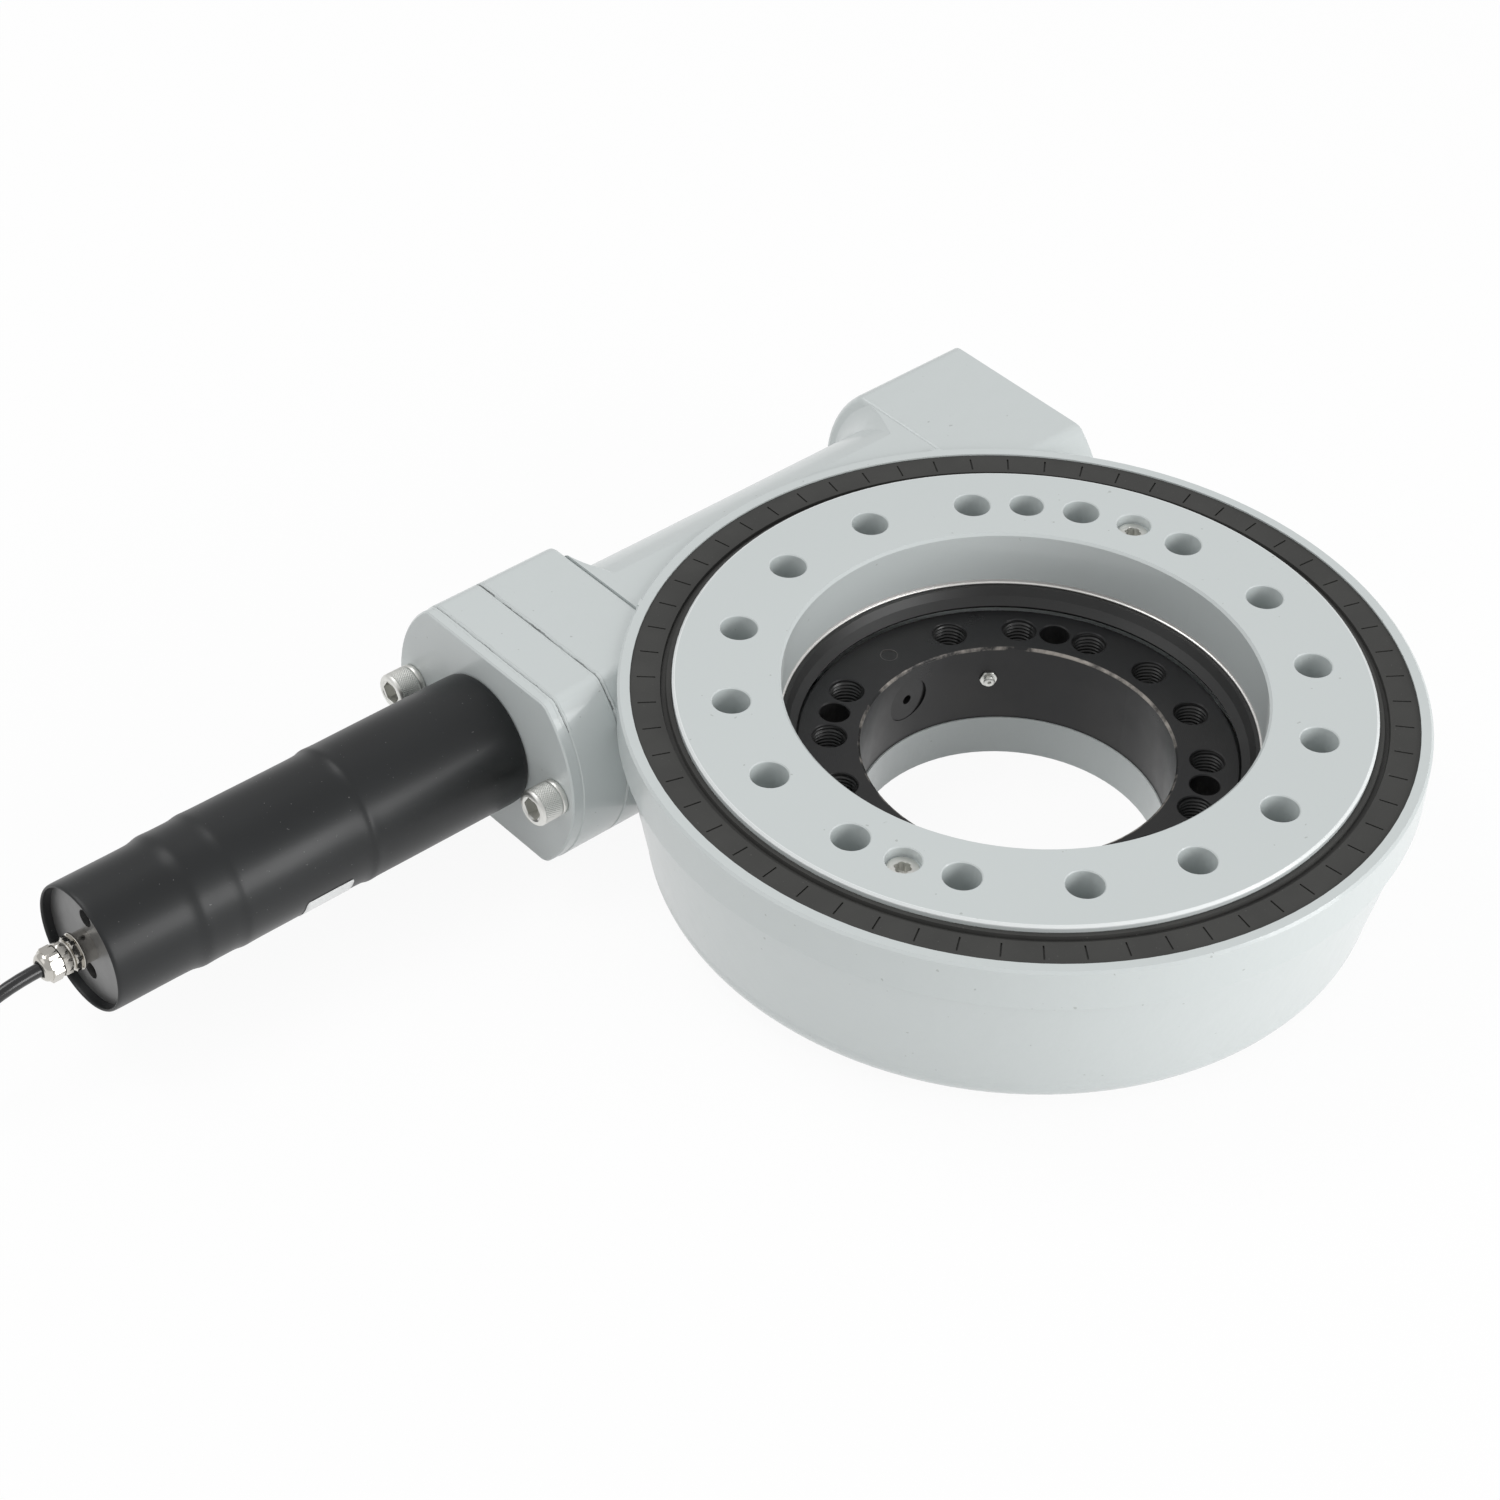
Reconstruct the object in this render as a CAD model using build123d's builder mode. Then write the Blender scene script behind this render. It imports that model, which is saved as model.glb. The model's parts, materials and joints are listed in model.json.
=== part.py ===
"""Enclosed worm slew drive: a ring gear on a ball race in a cast housing, turned by a worm and a motor.

Frame: origin on the slewing axis in the mounting face, +Z up, worm axis along X on the +Y side,
motor towards -X.
"""

import os
from math import asin, atan2, cos, degrees, hypot, pi, radians, sin, sqrt, tan

from build123d import *

# ---------------------------------------------------------------- driving dimensions, millimetres
height = 104.0  # mounting face to the top of the ring gear
clearance = 0.3  # between faces that turn past each other
fit_gap = 0.05  # radial gap of located parts

# worm and ring gear
module = 5.0
gear_teeth = 61
worm_pitch_radius = 22.0
gear_pitch_radius = module * gear_teeth / 2
worm_offset = gear_pitch_radius + worm_pitch_radius  # slewing axis to worm axis
worm_height = 50.5
tooth_band = 34.0  # face width of the teeth
worm_turns = 5
worm_core_radius = 16.0
worm_tip_radius = 26.5
worm_thread_root_width = 8.6
worm_thread_tip_width = 3.4
worm_pitch = pi * module
tooth_tip = worm_offset - worm_core_radius - 1.2
tooth_root = worm_offset - worm_tip_radius - 1.0

# inner ring and ball race, outwards from the base's bolt circle
base_pcd = 175.0
base_positions = 16
base_hole_radius = 8.0
base_through_radius = 9.0
smooth_hole_radius = 7.0
hub_bore_radius = base_pcd / 2 - 15.0
inner_ring_bore = hub_bore_radius + 0.7
inner_ring_outer = base_pcd / 2 + 18.5
inner_ring_shoulder = inner_ring_outer - 3.3
inner_ring_top = 64.6
fill_plug_angle = 90.0
nipple_angle = 55.5
race_height = 46.0
ball_radius = 10.0
ball_pitch_radius = inner_ring_outer + 1.0
ball_count = 24
ring_screw_angles = (33.75, 123.75, 213.75, 303.75)
ring_screw_radius = 5.0
ring_screw_engagement = 13.0

# ring gear, outwards from the race
gear_race_bore = ball_pitch_radius + 1.0
gear_bore_radius = gear_race_bore + 3.25
output_pcd = 2 * (gear_bore_radius + 23.75)
gear_head_radius = output_pcd / 2 + 25.9
gear_head_depth = 21.0
gear_underside = 20.0
gear_bore_step = 71.5  # where the wide bore ends
output_holes = 16
output_hole_radius = 8.75
output_hole_depth = 34.0
hole_chamfer = 0.5
service_port_radius = 7.5
service_port_mouth = 8.25
spare_hole_radius = 8.25
service_port_angles = (22.5, 202.5)
spare_hole_angle = 45.0
port_plug_depth = 4.5
port_plug_height = 10.0
port_step_depth = 5.5

# dust seal and housing rim, outwards from the ring gear
seal_seat_radius = gear_head_radius + 19.1
seal_thickness = 7.0
seal_slots = 60
seal_slot_width = 0.8
seal_slot_length = 8.5
rim_radius = seal_seat_radius + 5.7
rim_top = height - 3.0  # top face of the housing's rim
rim_depth = 21.5  # height of the rim band
rim_edge_chamfer = 1.2
chamber_radius = max(gear_head_radius, tooth_tip) + 3.1
wall_foot_radius = chamber_radius + 7.5  # outside of the tapered wall at its foot
wall_foot_height = 19.0
base_pad_radius = wall_foot_radius - 31.5
base_pad_step = 5.0
hub_height = 21.6  # seat of the inner ring
floor_height = 15.0  # inside floor of the gear chamber

# worm housing
flange_bolt_half_span = 53.2
flange_bolt_edge = 12.3  # centre of a flange bolt to the boss outline
boss_half_length = flange_bolt_half_span + flange_bolt_edge  # half of the boss outline along Y
boss_half_height = 48.5
boss_inner = 98.0  # distance of the bosses' inner faces from the slewing axis
near_face = -144.0
far_face = 168.8
tube_radius = 49.5
tube_blend = 12.0
worm_bore_radius = 31.0
boss_corner = 7.0
boss_edge_fillet = 3.0

# worm bearings (30 x 62 x 17 taper rollers)
bearing_bore = 15.0
bearing_width = 17.0
near_bearing = near_face + 15.0
far_bearing = 112.0
roller_count = 14
end_cap_thickness = 8.0
end_cap_radius = 40.0
cap_screw_circle = 35.3
cap_screw_head = 4.2

# motor end
adapter_thickness = 26.0
flange_thickness = 5.8
flange_bolt_radius = 6.0
flange_bolt_engagement = 22.0
bolt_head_radius = 9.0
bolt_head_height = 12.0
bolt_key = 10.0  # hexagon across flats
washer_radius = 9.6
washer_thickness = 3.0
seam_chamfer = 0.8
motor_front_radius = 33.3
motor_mid_radius = 32.6
motor_band_radius = 32.1
motor_rear_radius = 31.0
gearbox_length = 86.0
gearbox_step = 3.0
stator_length = 66.0
band_step = 5.0
band_length = 16.0
rear_step = 6.0
rear_length = 42.0
motor_length = gearbox_length + gearbox_step + stator_length
motor_length += band_step + band_length + rear_step + rear_length
motor_wall = 1.6
motor_end_recess = 5.0
end_hole_offset = 15.5
end_hole_radius = 4.3
output_shaft_radius = 8.0
output_shaft_reach = 62.0  # beyond the flange's face, into the worm's bore
output_shaft_inset = 29.5  # inside the gearbox
coupling_gap = 2.8  # end of the motor's shaft to the bottom of the worm's bore
key_width = 5.0
key_length = 34.0

# cable
gland_radius = 6.0
cable_diameter = 6.5
coil_centre = (-566.0, 215.75)
coil_radius = 38.0
coil_tail = 30.0

tau = 2 * pi
flange_face = near_face - adapter_thickness - flange_thickness
motor_end = flange_face - motor_length
worm_axis = Plane(origin=(0, worm_offset, worm_height), x_dir=(0, 1, 0), z_dir=(1, 0, 0))


def worm_plane(x):
    """Section plane across the worm axis at x: local x is +Y, local y is +Z."""
    return worm_axis.offset(x)


def save(builder, name):
    """Labels a finished piece and writes it as its own file."""
    builder.part.label = name
    export_step(builder.part, f"parts/{name}.step")


def polar(radius, angle, z=0.0):
    """Point at a radius and angle about the slewing axis."""
    return (radius * cos(radians(angle)), radius * sin(radians(angle)), z)


def boss_outline(grow=0.0):
    """Outline of a boss or flange: a disc cut by two flats, corners rounded. Drawn in an open sketch."""
    Circle(boss_half_length + grow)
    Rectangle(3 * boss_half_length, 2 * (boss_half_height + grow), mode=Mode.INTERSECT)
    fillet(vertices(), boss_corner)


os.makedirs("parts", exist_ok=True)

# ---------------------------------------------------------------- housing casting
with BuildPart() as housing:
    for inside, outside in ((-boss_inner, near_face), (boss_inner, far_face)):
        with BuildSketch(worm_plane(inside)):
            boss_outline()
        boss = extrude(amount=outside - inside)
        ends = boss.faces().filter_by(Axis.X).sort_by(Axis.X, reverse=outside > inside)
        chamfer(ends[0].edges(), seam_chamfer)
        fillet(ends[-1].edges(), boss_edge_fillet)
    with BuildSketch(Plane.XZ):
        with BuildLine():
            Polyline(
                (0, 0),
                (base_pad_radius, 0),
                (base_pad_radius, base_pad_step),
                (wall_foot_radius - 12, base_pad_step),
            )
            ThreePointArc(
                (wall_foot_radius - 12, base_pad_step),
                (wall_foot_radius - 3.2, base_pad_step + 5.0),
                (wall_foot_radius, wall_foot_height),
            )
            Polyline(
                (wall_foot_radius, wall_foot_height),
                (rim_radius - 2.2, rim_top - rim_depth - 1.5),
                (rim_radius, rim_top - rim_depth),
                (rim_radius, rim_top - rim_edge_chamfer),
                (rim_radius - rim_edge_chamfer, rim_top),
                (0, rim_top),
                (0, 0),
            )
        make_face()
    revolve(axis=Axis.Z)
    with BuildSketch(worm_plane(-boss_inner)):
        Circle(tube_radius)
        with Locations((-tube_radius, 0)):
            Rectangle(2 * tube_radius, 2 * boss_half_height)
        Rectangle(5 * tube_radius, 2 * boss_half_height, mode=Mode.INTERSECT)
    extrude(amount=2 * boss_inner)
    for side in (-1, 1):
        with BuildSketch(Plane(origin=worm_axis.origin, x_dir=(1, 0, 0), z_dir=(0, 0, 1))):
            with BuildLine():
                Polyline(
                    (side * boss_inner, tube_radius + tube_blend - 2),
                    (side * boss_inner, 0),
                    (side * (boss_inner - tube_blend), 0),
                    (side * (boss_inner - tube_blend), tube_radius - 1),
                )
                ThreePointArc(
                    (side * (boss_inner - tube_blend), tube_radius - 1),
                    (side * (boss_inner - 0.35 * tube_blend), tube_radius + 0.25 * tube_blend),
                    (side * boss_inner, tube_radius + tube_blend - 2),
                )
            make_face()
        revolve(axis=Axis(worm_axis.origin, (1, 0, 0)))
    with BuildSketch(Plane.XY.offset(worm_height + boss_half_height)):
        Rectangle(2 * boss_inner, 4 * worm_offset)
        Circle(rim_radius, mode=Mode.SUBTRACT)
    extrude(amount=tube_radius, mode=Mode.SUBTRACT)
    for level, way in ((rim_top, 1), (0, -1)):
        with BuildSketch(Plane.XY.offset(level)):
            Rectangle(4 * worm_offset, 4 * worm_offset)
        extrude(amount=way * tube_radius, mode=Mode.SUBTRACT)
    with BuildSketch(worm_plane(near_face)):
        boss_outline(clearance)
    extrude(amount=-adapter_thickness, mode=Mode.SUBTRACT)
    with BuildSketch(Plane.XY):
        Circle(hub_bore_radius)
    extrude(amount=rim_top, mode=Mode.SUBTRACT)
    with BuildSketch(Plane.XZ):
        with BuildLine():
            Polyline(
                (0, hub_height),
                (inner_ring_outer, hub_height),
                (inner_ring_outer, floor_height),
                (chamber_radius, floor_height),
                (chamber_radius, rim_top - seal_thickness),
                (seal_seat_radius, rim_top - seal_thickness),
                (seal_seat_radius, rim_top + 1),
                (0, rim_top + 1),
                (0, hub_height),
            )
        make_face()
    revolve(axis=Axis.Z, mode=Mode.SUBTRACT)
    with BuildSketch(worm_plane(near_face)):
        Circle(worm_bore_radius)
    extrude(amount=far_face - near_face, mode=Mode.SUBTRACT)
    with BuildSketch(Plane.XY):
        with PolarLocations(base_pcd / 2, base_positions):
            Circle(base_through_radius)
        with Locations(polar(base_pcd / 2, fill_plug_angle)[:2]):
            Circle(base_through_radius + 1, mode=Mode.SUBTRACT)
    extrude(amount=hub_height, mode=Mode.SUBTRACT)
    with BuildSketch(Plane.XY.offset(hub_height)):
        for angle in ring_screw_angles:
            with Locations(polar(base_pcd / 2, angle)[:2]):
                Circle(ring_screw_radius + fit_gap)
    extrude(amount=-(ring_screw_engagement + 1), mode=Mode.SUBTRACT)
    with BuildSketch(worm_plane(near_face)):
        with Locations((-flange_bolt_half_span, 0), (flange_bolt_half_span, 0)):
            Circle(flange_bolt_radius + fit_gap)
    extrude(amount=flange_bolt_engagement + 4, mode=Mode.SUBTRACT)
    with BuildSketch(worm_plane(far_face)):
        with PolarLocations(cap_screw_circle, 6, start_angle=30):
            Circle(2.5 + fit_gap)
    extrude(amount=-16, mode=Mode.SUBTRACT)
save(housing, "housing")

# ---------------------------------------------------------------- ring gear
with BuildPart() as ring_gear:
    with BuildSketch(Plane.XZ):
        with BuildLine():
            Polyline(
                (gear_race_bore, gear_underside),
                (tooth_root - 3, gear_underside),
                (tooth_root - 3, worm_height - tooth_band / 2 - 3),
                (tooth_root, worm_height - tooth_band / 2),
                (tooth_root, worm_height + tooth_band / 2),
                (tooth_root - 1.0, worm_height + tooth_band / 2 + 2),
                (tooth_root - 1.0, height - gear_head_depth),
                (gear_head_radius, height - gear_head_depth + 2),
                (gear_head_radius, height - 1),
                (gear_head_radius - 1, height),
                (gear_bore_radius + 1.2, height),
                (gear_bore_radius, height - 1.2),
                (gear_bore_radius, gear_bore_step),
                (gear_race_bore, gear_bore_step - 2),
                (gear_race_bore, gear_underside),
            )
        make_face()
    revolve(axis=Axis.Z)
    with BuildSketch(Plane.XZ):
        with Locations((ball_pitch_radius, race_height)):
            Circle(ball_radius + 0.1)
    revolve(axis=Axis.Z, mode=Mode.SUBTRACT)
    half_tip = radians(360 / gear_teeth) * 0.145
    half_root = radians(360 / gear_teeth) * 0.36
    teeth_points = []
    for tooth in range(gear_teeth):
        centre = pi / 2 + tau * tooth / gear_teeth
        for radius, turn in (
            (tooth_root - 0.4, -half_root),
            (tooth_tip, -half_tip),
            (tooth_tip, half_tip),
            (tooth_root - 0.4, half_root),
        ):
            teeth_points.append((radius * cos(centre + turn), radius * sin(centre + turn)))
    helix_turn = degrees(module / 2 / worm_pitch_radius * tooth_band / gear_pitch_radius)
    with BuildSketch() as tooth_profile:
        with BuildLine():
            Polyline(*teeth_points, close=True)
        make_face()
        Circle(tooth_root - 6, mode=Mode.SUBTRACT)
    band_start = worm_height - tooth_band / 2
    twisted = Solid.extrude_linear_with_rotation(
        tooth_profile.sketch.faces()[0].moved(
            Location((0, 0, band_start), (0, 0, -helix_turn / 2))
        ),
        center=Vector(0, 0, band_start),
        normal=Vector(0, 0, tooth_band),
        angle=helix_turn,
    )
    add(twisted)
    port_spots = [polar(output_pcd / 2, angle)[:2] for angle in service_port_angles]
    spare_spot = polar(output_pcd / 2, spare_hole_angle)[:2]
    with BuildSketch(Plane.XY.offset(height)):
        with PolarLocations(output_pcd / 2, output_holes, start_angle=180 / output_holes):
            Circle(output_hole_radius)
        with Locations(*port_spots):
            Circle(service_port_radius)
        with Locations(spare_spot):
            Circle(spare_hole_radius)
    extrude(amount=-output_hole_depth, mode=Mode.SUBTRACT)
    with BuildSketch(Plane.XY.offset(height)):
        with Locations(*port_spots):
            Circle(service_port_mouth)
    extrude(amount=-port_step_depth, mode=Mode.SUBTRACT)
    mouths = faces().filter_by(Plane.XY).sort_by(Axis.Z)[-1].inner_wires()
    mouth_edges = [edge for wire in mouths for edge in wire.edges()]
    chamfer([edge for edge in mouth_edges if edge.radius < 1.1 * output_hole_radius], hole_chamfer)
save(ring_gear, "ring_gear")

# ---------------------------------------------------------------- plugs in the ring gear's service ports
with BuildPart() as port_plugs:
    for angle in service_port_angles:
        spot = polar(output_pcd / 2, angle)[:2]
        with BuildSketch(Plane.XY.offset(height - port_plug_depth)):
            with Locations(spot):
                Circle(service_port_radius - fit_gap)
        extrude(amount=-port_plug_height)
        with BuildSketch(Plane.XY.offset(height - port_plug_depth)):
            with Locations(spot):
                RegularPolygon(4.0, 6, major_radius=False)
        extrude(amount=-5, mode=Mode.SUBTRACT)
save(port_plugs, "port_plugs")

# ---------------------------------------------------------------- lip seal carried in the ring gear's bore
lip_seal_base = inner_ring_top + 0.5
with BuildPart() as lip_seal:
    with BuildSketch(Plane.XZ):
        with BuildLine():
            Polyline(
                (inner_ring_shoulder + 1.0, lip_seal_base),
                (gear_race_bore - clearance, lip_seal_base),
                (gear_race_bore - clearance, gear_bore_step - 1.2),
                (gear_bore_radius - 1.4, gear_bore_step + 0.9),
                (gear_bore_radius - fit_gap, gear_bore_step + 0.3),
                (gear_bore_radius - fit_gap, gear_bore_step + 2.4),
                (gear_bore_radius - 2.6, gear_bore_step + 2.4),
                (gear_race_bore - 1.6, gear_bore_step - 1.4),
                (inner_ring_shoulder + 0.2, lip_seal_base + 1.6),
                (inner_ring_shoulder + 1.0, lip_seal_base),
            )
        make_face()
    revolve(axis=Axis.Z)
save(lip_seal, "lip_seal")

# ---------------------------------------------------------------- inner ring
with BuildPart() as inner_ring:
    with BuildSketch(Plane.XZ):
        with BuildLine():
            Polyline(
                (inner_ring_bore, hub_height),
                (inner_ring_outer, hub_height),
                (inner_ring_outer, inner_ring_top - 6),
                (inner_ring_shoulder, inner_ring_top - 4),
                (inner_ring_shoulder, inner_ring_top - 0.8),
                (inner_ring_shoulder - 0.8, inner_ring_top),
                (inner_ring_bore + 0.8, inner_ring_top),
                (inner_ring_bore, inner_ring_top - 0.8),
                (inner_ring_bore, hub_height),
            )
        make_face()
    revolve(axis=Axis.Z)
    with BuildSketch(Plane.XZ):
        with Locations((ball_pitch_radius, race_height)):
            Circle(ball_radius + 0.1)
    revolve(axis=Axis.Z, mode=Mode.SUBTRACT)
    for index in range(base_positions):
        angle = 360 / base_positions * index
        if angle == fill_plug_angle:
            continue
        with BuildSketch(Plane.XY.offset(hub_height)):
            with Locations(polar(base_pcd / 2, angle)[:2]):
                Circle(base_hole_radius)
        extrude(amount=inner_ring_top - hub_height, mode=Mode.SUBTRACT)
    for angle in ring_screw_angles:
        with Locations(polar(base_pcd / 2, angle, inner_ring_top)):
            CounterBoreHole(ring_screw_radius + fit_gap, smooth_hole_radius, 24, 60)
    fill_axis = Plane(
        origin=polar(inner_ring_bore - 2, fill_plug_angle, race_height),
        z_dir=(cos(radians(fill_plug_angle)), sin(radians(fill_plug_angle)), 0),
    )
    with BuildSketch(fill_axis):
        Circle(ball_radius + 1.5)
    extrude(amount=40, mode=Mode.SUBTRACT)
    with BuildSketch(Plane.XY.offset(inner_ring_top)):
        with Locations(polar(base_pcd / 2, fill_plug_angle)[:2]):
            Circle(4)
    extrude(amount=-(inner_ring_top - race_height), mode=Mode.SUBTRACT)
    nipple_axis = Plane(
        origin=polar(inner_ring_bore - 2, nipple_angle, race_height),
        z_dir=(cos(radians(nipple_angle)), sin(radians(nipple_angle)), 0),
    )
    with BuildSketch(nipple_axis):
        Circle(3 + fit_gap)
    extrude(amount=28, mode=Mode.SUBTRACT)
    mouths = faces().filter_by(Plane.XY).sort_by(Axis.Z)[-1].inner_wires()
    mouth_edges = [edge for wire in mouths for edge in wire.edges()]
    low, high = 0.9 * smooth_hole_radius, 1.1 * base_hole_radius
    chamfer([edge for edge in mouth_edges if low < edge.radius < high], hole_chamfer)
save(inner_ring, "inner_ring")

with BuildPart() as ball_fill_plug:
    with BuildSketch(fill_axis.offset(2.2)):
        Circle(ball_radius + 1.5 - fit_gap)
    extrude(amount=inner_ring_outer - inner_ring_bore - 1)
    with BuildSketch(Plane.XZ):
        with Locations((ball_pitch_radius, race_height)):
            Circle(ball_radius + 0.1)
    revolve(axis=Axis.Z, mode=Mode.SUBTRACT)
    with BuildSketch(fill_axis):
        Circle(2.5)
    extrude(amount=10, mode=Mode.SUBTRACT)
    with BuildSketch(Plane.XY.offset(inner_ring_top)):
        with Locations(polar(base_pcd / 2, fill_plug_angle)[:2]):
            Circle(4 + fit_gap)
    extrude(amount=-(inner_ring_top - race_height), mode=Mode.SUBTRACT)
save(ball_fill_plug, "ball_fill_plug")

with BuildPart() as fill_plug_pin:
    with BuildSketch(Plane.XY.offset(race_height + fit_gap)):
        with Locations(polar(base_pcd / 2, fill_plug_angle)[:2]):
            Circle(4 - fit_gap)
    extrude(amount=inner_ring_top - race_height - 0.4)
save(fill_plug_pin, "fill_plug_pin")

with BuildPart() as grease_nipple:
    with BuildSketch(nipple_axis.offset(-1.5)):
        Circle(2)
    extrude(amount=1.5)
    with BuildSketch(nipple_axis):
        RegularPolygon(3.5, 6)
    extrude(amount=1.9)
    with BuildSketch(nipple_axis.offset(1.9)):
        Circle(3)
    extrude(amount=12)
save(grease_nipple, "grease_nipple")

with BuildPart() as inner_ring_screws:
    for angle in ring_screw_angles:
        spot = polar(base_pcd / 2, angle)[:2]
        seat = inner_ring_top - 24
        with BuildSketch(Plane.XY.offset(seat)):
            with Locations(spot):
                Circle(smooth_hole_radius - 0.2)
        extrude(amount=10)
        with BuildSketch(Plane.XY.offset(seat)):
            with Locations(spot):
                Circle(ring_screw_radius)
        extrude(amount=-(seat - hub_height + ring_screw_engagement))
        with BuildSketch(Plane.XY.offset(seat + 10)):
            with Locations(spot):
                RegularPolygon(4.0, 6, major_radius=False)
        extrude(amount=-5, mode=Mode.SUBTRACT)
save(inner_ring_screws, "inner_ring_screws")

# ---------------------------------------------------------------- ball row
with BuildPart() as race_balls:
    with PolarLocations(ball_pitch_radius, ball_count):
        with Locations((0, 0, race_height)):
            Sphere(ball_radius)
save(race_balls, "race_balls")

ball_step = 360 / ball_count
spacer_length = 2 * ball_pitch_radius * sin(radians(ball_step / 2)) - 2 * ball_radius + 1.4
with BuildPart() as ball_spacers:
    for index in range(ball_count):
        angle = ball_step * (index + 0.5)
        mid = polar(ball_pitch_radius * cos(radians(ball_step / 2)), angle, race_height)
        tangent = (-sin(radians(angle)), cos(radians(angle)), 0)
        with BuildSketch(Plane(origin=mid, z_dir=tangent)):
            Circle(6.5)
        extrude(amount=spacer_length / 2, both=True)
    with PolarLocations(ball_pitch_radius, ball_count):
        with Locations((0, 0, race_height)):
            Sphere(ball_radius + fit_gap, mode=Mode.SUBTRACT)
save(ball_spacers, "ball_spacers")

# ---------------------------------------------------------------- dust seal with moulded slots
seal_top = rim_top - 0.8
seal_inner = gear_head_radius + clearance
with BuildPart() as dust_seal:
    with BuildSketch(Plane.XZ):
        with BuildLine():
            Polyline(
                (chamber_radius + fit_gap, rim_top - seal_thickness + 0.01),
                (seal_seat_radius - fit_gap, rim_top - seal_thickness + 0.01),
                (seal_seat_radius - fit_gap, seal_top),
                (seal_inner + 5.0, seal_top),
                (seal_inner + 4.6, seal_top - 1.6),
                (seal_inner + 2.6, seal_top - 1.6),
                (seal_inner + 2.2, seal_top + 0.6),
                (seal_inner, seal_top + 0.6),
                (seal_inner, seal_top - 3.4),
                (chamber_radius + fit_gap, seal_top - 4.4),
                (chamber_radius + fit_gap, rim_top - seal_thickness + 0.01),
            )
        make_face()
    revolve(axis=Axis.Z)
    slot_mid = (seal_inner + 5 + seal_seat_radius) / 2 - 0.5
    with BuildSketch(Plane.XY.offset(seal_top)):
        with PolarLocations(slot_mid, seal_slots):
            Rectangle(seal_slot_length, seal_slot_width)
    extrude(amount=-0.9, mode=Mode.SUBTRACT)
save(dust_seal, "dust_seal")

with BuildPart() as lower_seal:
    with BuildSketch(Plane.XZ):
        with BuildLine():
            Polyline(
                (gear_race_bore + 2, floor_height),
                (gear_race_bore + 12, floor_height),
                (gear_race_bore + 12, floor_height + 2.4),
                (gear_race_bore + 8, gear_underside - clearance),
                (gear_race_bore + 6, gear_underside - clearance),
                (gear_race_bore + 2, floor_height + 2.4),
                (gear_race_bore + 2, floor_height),
            )
        make_face()
    revolve(axis=Axis.Z)
save(lower_seal, "lower_seal")

# ---------------------------------------------------------------- worm shaft
shaft_near = near_bearing - 26
shaft_far = far_bearing + bearing_width + 16
thread_half = worm_turns * worm_pitch / 2
with BuildPart() as worm_shaft:
    with BuildSketch(worm_plane(-thread_half - 10)):
        Circle(worm_core_radius)
    extrude(amount=2 * thread_half + 20)
    with BuildSketch(worm_plane(near_bearing + bearing_width)):
        Circle(bearing_bore + 5)
    extrude(amount=-(near_bearing + bearing_width) - thread_half - 10)
    with BuildSketch(worm_plane(far_bearing)):
        Circle(bearing_bore + 5)
    extrude(amount=-(far_bearing - thread_half - 10))
    with BuildSketch(worm_plane(shaft_near)):
        Circle(bearing_bore)
    extrude(amount=near_bearing + bearing_width - shaft_near)
    with BuildSketch(worm_plane(far_bearing)):
        Circle(bearing_bore)
    extrude(amount=shaft_far - far_bearing)
    thread_path = Helix(worm_pitch, 2 * thread_half, worm_core_radius - 1).rotate(Axis.Z, 180)
    root_half = worm_thread_root_width / 2
    tip_half = worm_thread_tip_width / 2
    thread_depth = worm_tip_radius - worm_core_radius + 1
    with BuildSketch(Plane(thread_path @ 0, x_dir=(-1, 0, 0), z_dir=(0, -1, 0))) as thread_profile:
        with BuildLine():
            Polyline(
                (0, -root_half),
                (thread_depth, -tip_half),
                (thread_depth, tip_half),
                (0, root_half),
                close=True,
            )
        make_face()
    thread = sweep(thread_profile.sketch, path=thread_path, is_frenet=True, mode=Mode.PRIVATE)
    add(worm_plane(-thread_half).location * thread)
    with BuildSketch(worm_plane(shaft_near)):
        Circle(output_shaft_radius)
        with Locations((0, output_shaft_radius)):
            Rectangle(key_width, key_width)
    extrude(amount=flange_face + output_shaft_reach + coupling_gap - shaft_near, mode=Mode.SUBTRACT)
save(worm_shaft, "worm_shaft")


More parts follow.
